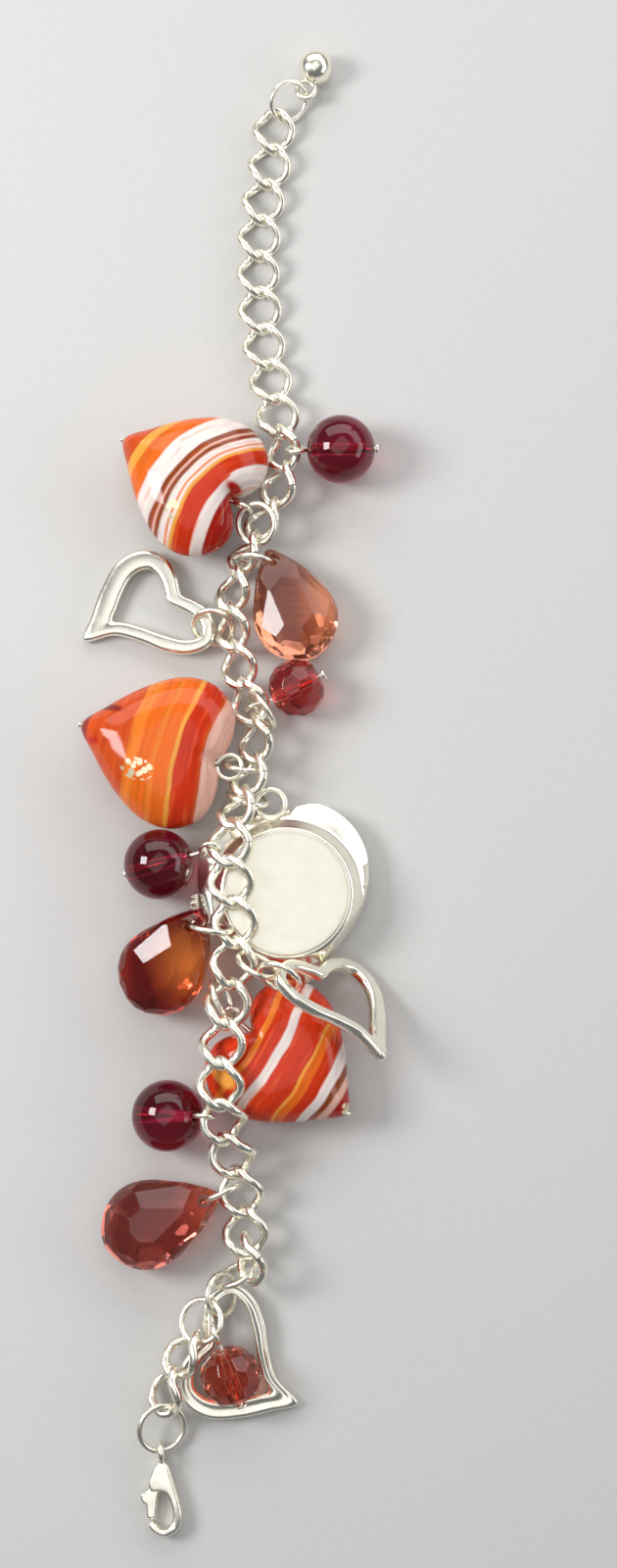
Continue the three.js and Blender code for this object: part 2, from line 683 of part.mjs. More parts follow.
// The watch lies on its face.
const WATCH_AT = [-3.0, -16.0, 0];
const watchTurn = pose(WATCH.turn, 0, 0);
add('watch_case', watchCase(), SILVER, WATCH_AT, watchTurn);
add('watch_back', watchBack(), STEEL, WATCH_AT, watchTurn);
for (const [name, part, look] of [
  ['watch_crystal', CRYSTAL_DISC, CRYSTAL],
  ['watch_dial', DIAL_DISC, DIAL_PAINT],
]) {
  const { radius, low, high } = part;
  add(name, toGeometry(toSolid(disc(radius, low, high))), look, WATCH_AT, watchTurn);
}
add('hour_hand', hand(3.6, 0.4, 2.45, 2.7), STEEL, WATCH_AT, pose(70, 0, 0));
add('minute_hand', hand(5.6, 0.3, 1.9, 2.15), STEEL, WATCH_AT, pose(-50, 0, 0));

const crownAt = [WATCH_AT[0], WATCH_AT[1], CROWN.z];
add('watch_crown', crown(), SILVER, crownAt, pose(CROWN.angle, 0, 0));

// The clasp and its lever share one place.
const CLASP_AT = [-19.7, -90.6, 0];
const claspTurn = pose(3, 0, 0);
add('clasp_body', claspBody(), SILVER, CLASP_AT, claspTurn);
add('clasp_lever', claspLever(), SILVER, CLASP_AT, claspTurn);

// The origin goes under the middle of the whole bracelet, on the surface that it lies on.
const whole = new THREE.Box3().setFromObject(bracelet, true);
const middle = whole.getCenter(new THREE.Vector3()).setZ(whole.min.z);
for (const mesh of bracelet.children) mesh.position.sub(middle);

export default bracelet;
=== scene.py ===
# %% [markdown]
# # A charm bracelet with a heart watch
# A plain solid model already says where every bead, ring and link of this bracelet lies.
# This lesson dresses it piece by piece: bent wire, cut glass, striped lamp glass, cast silver
# and a small watch that lies on its face. Each step says what the piece is on the real
# bracelet and how it could be made, then makes it in a few short cells.

# %% Load the frame
import math

import bmesh
import bpy
import numpy as np
from mathutils import Matrix, Vector


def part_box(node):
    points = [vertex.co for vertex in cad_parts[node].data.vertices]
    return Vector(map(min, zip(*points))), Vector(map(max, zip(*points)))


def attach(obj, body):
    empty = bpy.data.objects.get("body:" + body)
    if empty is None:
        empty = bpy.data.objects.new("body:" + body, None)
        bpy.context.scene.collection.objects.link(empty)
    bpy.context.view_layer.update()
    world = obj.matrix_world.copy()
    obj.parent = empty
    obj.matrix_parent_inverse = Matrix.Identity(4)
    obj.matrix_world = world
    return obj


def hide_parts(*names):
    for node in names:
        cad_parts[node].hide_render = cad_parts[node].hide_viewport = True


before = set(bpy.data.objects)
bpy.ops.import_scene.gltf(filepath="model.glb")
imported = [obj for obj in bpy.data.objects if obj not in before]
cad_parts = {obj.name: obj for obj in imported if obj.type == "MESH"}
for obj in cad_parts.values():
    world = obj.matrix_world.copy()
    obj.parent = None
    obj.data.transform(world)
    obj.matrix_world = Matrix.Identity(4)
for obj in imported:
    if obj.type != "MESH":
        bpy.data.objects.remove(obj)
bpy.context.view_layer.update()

# %% [markdown]
# ## One layout for every piece
# The bracelet was laid out in millimetres, with the watch a little left of the middle.
# Blender works in metres and the frame has its origin under the bracelet's middle, so one
# shift and one scale turn layout places into frame places. The shift comes from the watch
# back, whose middle is known in both, so no piece has to be fitted by eye.

# %% From the layout to the frame
MM = 0.001
WATCH_AT = Vector((-3.0, -16.0, 0.0))
NO_TURN = Matrix.Identity(4)


def middle_of(node):
    """The middle of a solid's box, in millimetres."""
    low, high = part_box(node)
    return (low + high) / 2 / MM


SHIFT = middle_of("watch_back") - WATCH_AT
SHIFT.z = 0.0


def pose(heading, lift=0.0, roll=0.0):
    """Turn about +Z, then raise the +X end, then roll about it, in degrees."""
    about_z = Matrix.Rotation(math.radians(heading), 4, "Z")
    about_y = Matrix.Rotation(math.radians(-lift), 4, "Y")
    about_x = Matrix.Rotation(math.radians(roll), 4, "X")
    return about_z @ about_y @ about_x


def placing(at=(0, 0, 0), turn=NO_TURN):
    """Takes a point of a piece, in millimetres, to its place in the frame, in metres."""
    return Matrix.Scale(MM, 4) @ Matrix.Translation(Vector(at) + SHIFT) @ turn


print("shift of the layout:", [round(v, 3) for v in SHIFT])

# %% [markdown]
# ## Camera, floor and light
# The bracelet lies on a pale sheet and is seen from almost straight above, over its lower
# half, with a long-sided frame. Silver only looks like silver when it has something bright
# and something dim to mirror, so the sky is a dull grey and the light comes from five soft
# panels: a small strong key on the left that draws the shadows to the right, a wide mild
# one beyond the far end, two faint ones at the right and the far corner that light the
# flanks of the castings, and a large faint ceiling straight above, which is what flat
# silver mirrors.

# %% Camera
CAMERA_AT = (0.0, -44.2, 296.7)
CAMERA_TILT = 8.48
CAMERA_LENS = 48.9

camera_data = bpy.data.cameras.new("camera")
camera_data.lens = CAMERA_LENS
camera_data.sensor_width = 36.0
camera_data.clip_start = 0.01
camera = bpy.data.objects.new("camera", camera_data)
camera.location = (Vector(CAMERA_AT) + SHIFT) * MM
camera.rotation_euler = (math.radians(CAMERA_TILT), 0.0, 0.0)
bpy.context.scene.collection.objects.link(camera)
bpy.context.scene.camera = camera
bpy.context.scene.view_settings.view_transform = "Standard"
print("camera at", [round(v, 4) for v in camera.location])

# %% Helpers for node trees


def node(tree, kind, inputs=None, **settings):
    """Adds a node. An input is a value, or another node's output to link from."""
    made = tree.nodes.new(kind)
    for name, value in settings.items():
        setattr(made, name, value)
    for name, value in (inputs or {}).items():
        socket = made.inputs[name]
        if isinstance(value, bpy.types.NodeSocket):
            tree.links.new(value, socket)
        else:
            socket.default_value = value
    return made


def ranged(tree, value, low, high, start=0.0, end=1.0):
    """Takes the range from low to high of a value to the range from start to end."""
    return node(tree, "ShaderNodeMapRange", {
        "Value": value, "From Min": low, "From Max": high, "To Min": start, "To Max": end,
    }).outputs["Result"]


def colour(red, green, blue):
    """A colour for a socket, fully opaque."""
    return (red, green, blue, 1.0)


def new_material(name):
    """A material and its tree, emptied but for the surface shader."""
    material = bpy.data.materials.new(name)
    material.use_nodes = True
    return material, material.node_tree, material.node_tree.nodes["Principled BSDF"]


def wire_up(tree, shader, **links):
    """Links outputs to the shader's sockets; Base_Color stands for Base Color."""
    for name, output in links.items():
        tree.links.new(output, shader.inputs[name.replace("_", " ")])


# %% Floor
FLOOR_HALF = 0.6

floor_material, tree, shader = new_material("pale paper")
grain = node(tree, "ShaderNodeTexNoise", {
    "Vector": node(tree, "ShaderNodeTexCoord").outputs["Object"],
    "Scale": 900.0,
    "Detail": 4.0,
})
tones = node(tree, "ShaderNodeMix", {"Factor": grain.outputs["Fac"]}, data_type="RGBA")
tones.inputs["A"].default_value = colour(0.57, 0.56, 0.545)
tones.inputs["B"].default_value = colour(0.61, 0.60, 0.585)
wire_up(tree, shader, Base_Color=tones.outputs["Result"])
shader.inputs["Roughness"].default_value = 0.8

floor_mesh = bpy.data.meshes.new("floor")
corners = [(-FLOOR_HALF, -FLOOR_HALF), (FLOOR_HALF, -FLOOR_HALF),
           (FLOOR_HALF, FLOOR_HALF), (-FLOOR_HALF, FLOOR_HALF)]
floor_mesh.from_pydata([(x, y, 0.0) for x, y in corners], [], [(0, 1, 2, 3)])
floor_mesh.materials.append(floor_material)
floor = bpy.data.objects.new("floor", floor_mesh)
bpy.context.scene.collection.objects.link(floor)
print("floor:", 2 * FLOOR_HALF, "m square")

# %% Light
LIGHTS = [
    # name, place in millimetres, side across, side along, watts
    ("key panel", (-300.0, 40.0, 270.0), 150.0, 150.0, 1.2),
    ("far panel", (-40.0, 420.0, 260.0), 620.0, 300.0, 1.3),
    ("corner panel", (330.0, 250.0, 250.0), 300.0, 200.0, 0.4),
    ("right panel", (360.0, -20.0, 150.0), 300.0, 120.0, 0.3),
    ("ceiling", (-20.0, -20.0, 520.0), 420.0, 620.0, 0.78),
]
SKY = (0.15, 0.155, 0.165, 1.0)

for name, at, across, along, watts in LIGHTS:
    lamp = bpy.data.lights.new(name, "AREA")
    lamp.shape = "RECTANGLE"
    lamp.size = across * MM
    lamp.size_y = along * MM
    lamp.energy = watts
    panel = bpy.data.objects.new(name, lamp)
    panel.location = Vector(at) * MM
    panel.rotation_euler = (-panel.location).to_track_quat("-Z", "Y").to_euler()
    bpy.context.scene.collection.objects.link(panel)

world = bpy.data.worlds.new("studio")
world.use_nodes = True
world.node_tree.nodes["Background"].inputs["Color"].default_value = SKY
world.node_tree.nodes["Background"].inputs["Strength"].default_value = 1.0
bpy.context.scene.world = world
print("lights:", [light[0] for light in LIGHTS])

# %% [markdown]
# ## Silver
# The wire, the castings and the watch case are plated in a warm, slightly creamy silver.
# Plated metal is never one even mirror: handling leaves dull patches and hair scratches.
# Noise on the object's own coordinates gives the patches, a stretched and much finer noise
# gives the scratches. The patches nudge the colour and the roughness, and the scratches only
# the bump, so the shine is an even satin.

# %% Silver material


def metal(name, bright, dull, smooth, rough, scratch=0.02, patch_scale=420.0):
    """A plated metal: colour and roughness wander between two values, with fine scratches."""
    material, tree, shader = new_material(name)
    place = node(tree, "ShaderNodeTexCoord").outputs["Object"]
    patches = node(tree, "ShaderNodeTexNoise", {
        "Vector": place, "Scale": patch_scale, "Detail": 5.0, "Roughness": 0.6,
    }).outputs["Fac"]
    tint = node(tree, "ShaderNodeValToRGB", {"Fac": patches})
    tint.color_ramp.elements[0].position = 0.32
    tint.color_ramp.elements[0].color = dull
    tint.color_ramp.elements[1].position = 0.62
    tint.color_ramp.elements[1].color = bright
    gloss = ranged(tree, patches, 0.3, 0.7, rough, smooth)
    stretched = node(tree, "ShaderNodeMapping", {"Vector": place, "Scale": (1.0, 0.12, 0.6)})
    hairs = node(tree, "ShaderNodeTexNoise", {
        "Vector": stretched.outputs["Vector"], "Scale": 5200.0, "Detail": 2.0,
    })
    bump = node(tree, "ShaderNodeBump", {
        "Height": hairs.outputs["Fac"], "Strength": scratch * 10, "Distance": 0.00002,
    })
    wire_up(tree, shader, Base_Color=tint.outputs["Color"], Normal=bump.outputs["Normal"],
            Roughness=gloss)
    shader.inputs["Metallic"].default_value = 1.0
    return material


BRIGHT = colour(1.0, 0.97, 0.85)
DULL = colour(0.92, 0.89, 0.76)
silver_wire = metal("silver wire", BRIGHT, DULL, 0.2, 0.32, 0.012)
silver_cast = metal("cast silver", BRIGHT, DULL, 0.16, 0.3, 0.03, 260.0)
print("made", silver_wire.name, "and", silver_cast.name)

# %% [markdown]
# ## Bent wire
# Chain links and jump rings are the same thing to a maker: a length of round wire bent round
# a mandrel and cut, so every loop has a fine seam. A curb link is also twisted, which makes
# its ends rise and fall so that it sits flat in its neighbours. Modelling one loop and
# copying it by hand would work, but the chain bends and rolls along its whole length, so a
# node tree does it: it bends one loop from a formula, sets a copy on each point of a chain
# and turns it as that point says.

# %% Maths for node trees


def math_node(tree, operation, first, second=0.0):
    """One step of arithmetic on node outputs or numbers."""
    made = tree.nodes.new("ShaderNodeMath")
    made.operation = operation
    for socket, value in zip(made.inputs, (first, second)):
        if isinstance(value, bpy.types.NodeSocket):
            tree.links.new(value, socket)
        else:
            socket.default_value = value
    return made.outputs[0]


# %% The tree that bends wire loops
LOOP_INPUTS = {
    "Half Length": "NodeSocketFloat",
    "Half Width": "NodeSocketFloat",
    "Twist": "NodeSocketFloat",
    "Pinch": "NodeSocketFloat",
    "Wire Radius": "NodeSocketFloat",
    "Seam Angle": "NodeSocketFloat",
    "Random Spin": "NodeSocketFloat",
    "Seed": "NodeSocketInt",
    "Steps": "NodeSocketInt",
    "Sides": "NodeSocketInt",
    "Material": "NodeSocketMaterial",
}
FULL_TURN = 2 * math.pi


def bent_loop(tree, given):
    """One open loop of wire round the Z axis, its seam halfway along a long side."""
    straight = node(tree, "GeometryNodeCurvePrimitiveLine")
    steps = node(tree, "GeometryNodeResampleCurve", {
        "Curve": straight.outputs["Curve"], "Count": given["Steps"],
    }, mode="COUNT")
    share = node(tree, "GeometryNodeSplineParameter").outputs["Factor"]
    swing = math_node(tree, "SUBTRACT", FULL_TURN, given["Seam Angle"])
    start = math_node(tree, "MULTIPLY_ADD", given["Seam Angle"], 0.5)
    start.node.inputs[2].default_value = math.pi / 2
    angle = math_node(tree, "ADD", math_node(tree, "MULTIPLY", share, swing), start)
    double = math_node(tree, "MULTIPLY", angle, 2.0)
    ripple = math_node(tree, "POWER", math_node(tree, "SINE", double), 2.0)
    squeeze = math_node(tree, "SUBTRACT", 1.0, math_node(tree, "MULTIPLY", ripple, given["Pinch"]))
    wide = math_node(tree, "MULTIPLY", given["Half Width"], squeeze)
    long = math_node(tree, "MULTIPLY", given["Half Length"], squeeze)
    place = node(tree, "ShaderNodeCombineXYZ", {
        "X": math_node(tree, "MULTIPLY", math_node(tree, "SINE", angle), wide),
        "Y": math_node(tree, "MULTIPLY", math_node(tree, "COSINE", angle), long),
        "Z": math_node(tree, "MULTIPLY", math_node(tree, "SINE", double), given["Twist"]),
    })
    bent = node(tree, "GeometryNodeSetPosition", {
        "Geometry": steps.outputs["Curve"], "Position": place.outputs["Vector"],
    })
    section = node(tree, "GeometryNodeCurvePrimitiveCircle", {
        "Radius": given["Wire Radius"], "Resolution": given["Sides"],
    })
    return node(tree, "GeometryNodeCurveToMesh", {
        "Curve": bent.outputs["Geometry"],
        "Profile Curve": section.outputs["Curve"],
        "Fill Caps": True,
    }).outputs["Mesh"]


def loop_tree():
    tree = bpy.data.node_groups.new("bent wire loops", "GeometryNodeTree")
    sockets = tree.interface
    sockets.new_socket("Geometry", in_out="INPUT", socket_type="NodeSocketGeometry")
    for name, kind in LOOP_INPUTS.items():
        sockets.new_socket(name, in_out="INPUT", socket_type=kind)
    sockets.new_socket("Geometry", in_out="OUTPUT", socket_type="NodeSocketGeometry")
    given = tree.nodes.new("NodeGroupInput").outputs
    turn = node(tree, "GeometryNodeInputNamedAttribute", {"Name": "turn"},
                data_type="FLOAT_VECTOR").outputs["Attribute"]
    chance = node(tree, "FunctionNodeRandomValue", {"Seed": given["Seed"]}, data_type="FLOAT")
    spin = node(tree, "ShaderNodeCombineXYZ", {
        "Z": math_node(tree, "MULTIPLY", chance.outputs[1], given["Random Spin"]),
    })
    rotation = node(tree, "FunctionNodeRotateRotation", {
        "Rotation": node(tree, "FunctionNodeEulerToRotation", {"Euler": turn}).outputs[0],
        "Rotate By": node(tree, "FunctionNodeEulerToRotation",
                          {"Euler": spin.outputs["Vector"]}).outputs[0],
    }, rotation_space="LOCAL")
    copies = node(tree, "GeometryNodeInstanceOnPoints", {
        "Points": given["Geometry"],
        "Instance": bent_loop(tree, given),
        "Rotation": rotation.outputs[0],
    })
    real = node(tree, "GeometryNodeRealizeInstances", {"Geometry": copies.outputs["Instances"]})
    round_look = node(tree, "GeometryNodeSetShadeSmooth", {"Geometry": real.outputs["Geometry"]})
    painted = node(tree, "GeometryNodeSetMaterial", {
        "Geometry": round_look.outputs["Geometry"], "Material": given["Material"],
    })
    node(tree, "NodeGroupOutput", {"Geometry": painted.outputs["Geometry"]})
    return tree


LOOP_TREE = loop_tree()
print("wire tree:", len(LOOP_TREE.nodes), "nodes")

# %% Run the tree on a list of places


def bend_loops(name, places, values):
    """One mesh of wire loops: places are frame matrices, values the tree's named inputs."""
    mesh = bpy.data.meshes.new(name)
    mesh.from_pydata([place.to_translation() for place in places], [], [])
    turns = mesh.attributes.new("turn", "FLOAT_VECTOR", "POINT")
    turns.data.foreach_set("vector", [v for place in places for v in place.to_euler()])
    thing = bpy.data.objects.new(name, mesh)
    bpy.context.scene.collection.objects.link(thing)
    grow = thing.modifiers.new("wire", "NODES")
    grow.node_group = LOOP_TREE
    for socket in LOOP_TREE.interface.items_tree:
        if socket.in_out == "INPUT" and socket.name in values:
            grow[socket.identifier] = values[socket.name]
    graph = bpy.context.evaluated_depsgraph_get()
    made = bpy.data.meshes.new_from_object(thing.evaluated_get(graph), depsgraph=graph)
    thing.modifiers.clear()
    thing.data = made
    return thing


def settle(thing, slot, *nodes, body="bracelet"):
    """The piece rides on its body and stands for its solids; prints how well the boxes agree."""
    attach(thing, body)
    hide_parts(*nodes)
    lows, highs = zip(*(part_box(name) for name in nodes))
    low = np.min(lows, axis=0)
    high = np.max(highs, axis=0)
    graph = bpy.context.evaluated_depsgraph_get()
    mesh = thing.evaluated_get(graph).to_mesh()
    points = np.array([corner.co for corner in mesh.vertices])
    off = np.concatenate([points.min(0) - low, points.max(0) - high]) / MM
    print(f"{thing.name}: {len(mesh.polygons)} faces, box off by", np.round(off, 2).tolist())


# %% [markdown]
# ## The chain
# The chain follows one long route from the end ring down to the lowest charms, and a short
# one from there to the clasp. Its links sit a fixed pitch apart along a route, and the charms
# pull each one over by its own roll. A route is a smooth line through a few points, so the
# helper below finds that line and measures along it.

# %% Smooth lines through points


def smooth_line(points, closed=False, per_span=60):
    """Many short steps of a smooth line through the points (centripetal Catmull-Rom)."""
    known = [np.array(point, float) for point in points]
    if closed:
        known = [known[-1], *known, known[0], known[1]]
    else:
        known = [2 * known[0] - known[1], *known, 2 * known[-1] - known[-2]]
    t = np.linspace(0, 1, per_span, endpoint=False)[:, None]
    spans = []
    for a, b, c, d in zip(known, known[1:], known[2:], known[3:]):
        ab, bc, cd = (math.sqrt(np.linalg.norm(gap)) for gap in (b - a, c - b, d - c))
        leave = ((b - a) / ab - (c - a) / (ab + bc) + (c - b) / bc) * bc
        arrive = ((c - b) / bc - (d - b) / (bc + cd) + (d - c) / cd) * bc
        bend = 3 * (c - b) - 2 * leave - arrive
        sway = 2 * (b - c) + leave + arrive
        spans.append(b + leave * t + bend * t ** 2 + sway * t ** 3)
    spans.append(known[1 if closed else -2][None])
    return np.vstack(spans)


def line_length(line):
    """How far each point lies along the line."""
    return np.concatenate([[0], np.cumsum(np.linalg.norm(np.diff(line, axis=0), axis=1))])


def along_line(line, distances):
    far = line_length(line)
    return np.stack([np.interp(distances, far, line[:, k]) for k in range(line.shape[1])], 1)


def evenly(line, count):
    """A count of points spaced evenly round a closed line."""
    whole = line_length(line)[-1]
    return along_line(line, np.linspace(0, whole, count, endpoint=False))


# %% Sizes and routes of the chain
LINK = {"half_length": 3.2, "half_width": 2.75, "twist": 0.85, "pinch": 0.15, "wire": 0.62}
PITCH = 5.55
EXTENDER_LINKS = 9
CLASP_LINKS = 2
JOIN_GAP = 0.6
CHAIN_ROUTE = [
    (-5.0, 99.6, 1.4), (-5.6, 91.5, 1.4), (-6.9, 85.3, 1.4), (-7.4, 74.0, 1.4),
    (-6.5, 63.2, 1.4), (-4.4, 52.2, 2.6), (-3.4, 44.4, 3.4), (-5.0, 40.0, 3.1),
    (-10.1, 30.2, 3.2), (-11.1, 25.1, 3.2), (-9.4, 14.0, 3.2), (-7.2, 7.0, 3.3),
    (-7.6, 1.6, 4.0), (-10.4, -5.6, 7.2), (-11.0, -11.5, 8.9), (-10.2, -18.0, 8.9),
    (-9.8, -23.8, 8.9), (-10.6, -29.3, 8.3), (-11.4, -35.0, 9.7), (-11.8, -41.5, 10.7),
    (-11.6, -46.6, 8.9), (-10.2, -51.4, 4.9), (-8.8, -58.0, 3.0), (-8.4, -64.9, 3.0),
    (-9.8, -70.6, 3.4),
]
CHARM_ROLLS = [-50, -45, -50, -60, -50, -50, -45, -40, -50, -50, -50, -20,
               0, 0, 0, -10, -15, -10, 5, -15, -20, -15]
LAST_LINK = {"start": (-7.2, -68.2, 4.7), "end": (-8.5, -61.8, 4.7), "roll": -65}
CLASP_ROUTE = [(-15.2, -75.2, 4.2), (-18.5, -80.5, 3.8), (-19.7, -85.6, 2.7)]
CLASP_ROLL = -50

# %% Place every link


def link_place(start, end, roll):
    """A link lies halfway between two joints, its long side along them, rolled about it."""
    start, end = Vector(start), Vector(end)
    along = (end - start).normalized()
    side = along.cross(Vector((0, 0, 1))).normalized()
    up = side.cross(along)
    basis = Matrix((side, along, up)).transposed().to_4x4()
    turn = basis @ Matrix.Rotation(math.radians(roll), 4, "Y")
    turn.translation = ((start + end) / 2 + SHIFT) * MM
    return turn


def links_along(route, first, rolls):
    """Link places a pitch apart down a route, from a given distance down it."""
    line = smooth_line(route)
    joints = along_line(line, first + PITCH * np.arange(len(rolls) + 1))
    pairs = zip(joints[1:], joints[:-1], rolls)
    return [link_place(lower, upper, roll) for lower, upper, roll in pairs]


extender_places = links_along(CHAIN_ROUTE, 0.0, [0] * EXTENDER_LINKS)
charm_places = links_along(CHAIN_ROUTE, EXTENDER_LINKS * PITCH - JOIN_GAP, CHARM_ROLLS)
charm_places.append(link_place(LAST_LINK["start"], LAST_LINK["end"], LAST_LINK["roll"]))
clasp_places = links_along(CLASP_ROUTE, 0.0, [CLASP_ROLL] * CLASP_LINKS)
print("links:", len(extender_places), len(charm_places), len(clasp_places))

# %% Bend the chains
LINK_VALUES = {
    "Half Length": LINK["half_length"] * MM,
    "Half Width": LINK["half_width"] * MM,
    "Twist": LINK["twist"] * MM,
    "Pinch": LINK["pinch"],
    "Wire Radius": LINK["wire"] * MM,
    "Seam Angle": 0.012,
    "Random Spin": 0.0,
    "Seed": 1,
    "Steps": 56,
    "Sides": 14,
    "Material": silver_wire,
}
for name, places, solid in [
    ("extender_links", extender_places, "extender_chain"),
    ("charm_links", charm_places, "charm_chain"),
    ("clasp_links", clasp_places, "clasp_chain"),
]:
    settle(bend_loops(name, places, LINK_VALUES), "silver", solid)

# %% [markdown]
# ## Jump rings
# Most charms hang from a plain round jump ring. It is the same bent wire with no twist, so
# the same tree makes it, with a random spin that leaves each seam somewhere else. Where a
# ring lies and how it is tilted can be read from its solid: its flattest direction is its axis.

# %% Read the rings' places from their solids
WIRE_THIN = 0.4


def ring_place(name):
    """The ring's place and its outer radius in millimetres."""
    points = np.array([corner.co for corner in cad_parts[name].data.vertices]) / MM
    centre = points.mean(0)
    spread, axes = np.linalg.eigh(np.cov((points - centre).T))
    axis = Vector(axes[:, int(np.argmin(spread))])
    centre = Vector(centre)
    reach = max((Vector(point) - centre).length for point in points)
    place = axis.to_track_quat("Z", "Y").to_matrix().to_4x4()
    place.translation = centre * MM
    return place, reach


ring_names = sorted(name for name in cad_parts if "ring" in name)
rings = {name: ring_place(name) for name in ring_names}
big_ring = max(rings, key=lambda name: rings[name][1])
small_rings = [name for name in ring_names if name != big_ring]
print(len(rings), "rings, the largest is", big_ring, round(rings[big_ring][1], 2))

# %% Bend the rings


def ring_values(outer, seed):
    radius = (outer - WIRE_THIN) * MM
    return {**LINK_VALUES, "Half Length": radius, "Half Width": radius, "Twist": 0.0,
            "Pinch": 0.0, "Wire Radius": WIRE_THIN * MM, "Seam Angle": 0.02,
            "Random Spin": FULL_TURN, "Seed": seed, "Steps": 48, "Sides": 12}


RING_OUTER = 3.25
BIG_RING_OUTER = 3.55
small_places = [rings[name][0] for name in small_rings]
jump_rings = bend_loops("jump_rings", small_places, ring_values(RING_OUTER, 3))
settle(jump_rings, "silver", *small_rings)
clasp_ring_wire = bend_loops("clasp_ring_wire", [rings[big_ring][0]], ring_values(BIG_RING_OUTER, 5))
settle(clasp_ring_wire, "silver", big_ring)

# %% [markdown]
# ## Shapes from rings of points
# Everything else is built from a few mesh helpers. A skin joins rings of points into a closed
# surface. A tube runs a ring along a path, for pins and eyes. A turned shape runs a profile
# round an axis, for beads and discs. Softening a profile first rounds its corners, because no
# cast or moulded edge is truly sharp and the thin highlight on it is what the eye looks for.

# %% Skins, tubes and turned shapes


def skin(rings_of_points, closed=False, capped=True):
    """Points and faces of a surface through rings of equal length."""
    count = len(rings_of_points[0])
    points = [tuple(point) for ring in rings_of_points for point in ring]
    faces = []
    for row in range(len(rings_of_points) - (0 if closed else 1)):
        here = row * count
        there = (row + 1) % len(rings_of_points) * count
        for k in range(count):
            after = (k + 1) % count
            faces.append((here + k, here + after, there + after, there + k))
    if capped and not closed:
        faces.append(tuple(range(count)))
        faces.append(tuple(range(len(points) - count, len(points))))
    return points, faces


def tube(path, radius, sides=14, closed=False):
    """A round tube along a path; the radius is a number or one for each point."""
    path = [Vector(point) for point in path]
    radii = [radius] * len(path) if isinstance(radius, (int, float)) else radius
    rings_of_points, side = [], None
    for k, point in enumerate(path):
        before = path[k - 1] if k or closed else point
        after = path[(k + 1) % len(path)] if closed or k + 1 < len(path) else point
        along = (after - before).normalized()
        side = along.orthogonal() if side is None else side
        side = (side - along * side.dot(along)).normalized()
        rise = along.cross(side)
        ring = []
        for j in range(sides):
            angle = FULL_TURN * j / sides
            ring.append(point + radii[k] * (side * math.cos(angle) + rise * math.sin(angle)))
        rings_of_points.append(ring)
    return skin(rings_of_points, closed)


def turned(profile, steps=64, axis="Z", closed=False):
    """Runs a profile of (height, radius) round an axis. A closed profile makes a ring."""
    rings_of_points = []
    for height, radius in profile:
        ring = []
        for k in range(steps):
            angle = FULL_TURN * k / steps
            flat = (radius * math.cos(angle), radius * math.sin(angle))
            ring.append((*flat, height) if axis == "Z" else (height, *flat))
        rings_of_points.append(ring)
    return skin(rings_of_points, closed, capped=False)


def soften(profile, radius, steps=4, closed=False):
    """Rounds the corners of a profile of any dimension."""
    points = [Vector(point) for point in profile]
    soft = []
    for k, corner in enumerate(points):
        if not closed and k in (0, len(points) - 1):
            soft.append(corner)
            continue
        before = points[k - 1] - corner
        after = points[(k + 1) % len(points)] - corner
        reach = min(radius, before.length * 0.45, after.length * 0.45)
        start = corner + before.normalized() * reach
        end = corner + after.normalized() * reach
        for j in range(steps + 1):
            t = j / steps
            soft.append(start * (1 - t) ** 2 + corner * 2 * t * (1 - t) + end * t ** 2)
    return [tuple(point) for point in soft]


def joined(*shapes):
    """Several shapes as one list of points and faces."""
    points, faces = [], []
    for more_points, more_faces in shapes:
        faces += [tuple(k + len(points) for k in face) for face in more_faces]
        points += list(more_points)
    return points, faces


def turned_points(shape, turn):
    points, faces = shape
    return [tuple(turn @ Vector(point)) for point in points], faces


# %% From points to a piece


def build(name, shape, material, at=(0, 0, 0), turn=NO_TURN, sharp=None, flat=False):
    """A mesh object at the origin with its place in its mesh. Edges over `sharp` degrees
    stay crisp."""
    points, faces = shape
    place = placing(at, turn)
    mesh = bpy.data.meshes.new(name)
    mesh.from_pydata([place @ Vector(point) for point in points], [], faces)
    tidy = bmesh.new()
    tidy.from_mesh(mesh)
    bmesh.ops.remove_doubles(tidy, verts=tidy.verts, dist=1e-7)
    bmesh.ops.recalc_face_normals(tidy, faces=tidy.faces)
    tidy.to_mesh(mesh)
    tidy.free()
    if flat:
        mesh.shade_flat()
    else:
        mesh.shade_smooth()
        if sharp:
            mesh.set_sharp_from_angle(angle=math.radians(sharp))
    mesh.materials.append(material)
    thing = bpy.data.objects.new(name, mesh)
    bpy.context.scene.collection.objects.link(thing)
    return thing


def bevel(thing, width, segments=2, angle=25):
    """A live bevel on the crisp edges, width in millimetres."""
    soft = thing.modifiers.new("soft edges", "BEVEL")
    soft.width = width * MM
    soft.segments = segments
    soft.limit_method = "ANGLE"
    soft.angle_limit = math.radians(angle)
    return thing


# %% [markdown]
# ## Eye pins
# A bead hangs on a pin: a wire with a small flat head at one end, pushed through the hole and
# bent into an eye at the other. The wire leaves the bead, turns sideways and goes almost once
# round, so the eye shows a gap where its end meets the neck. A tube along that path is all it
# needs, with the end cut square, and a turned button for the head.

# %% One pin
PIN = {"wire": 0.33, "head_gap": 0.1}
BEAD_HEAD = {"radius": 0.78, "length": 0.4}
HEART_HEAD = {"radius": 0.52, "length": 0.26}
EYE_GAP = 24.0
EYE_START = 8
EYE_STEPS = 40
NECK_BEND = [
    # how far before the eye, how far sideways
    (0.55, 0), (0.2, 0.02),
]


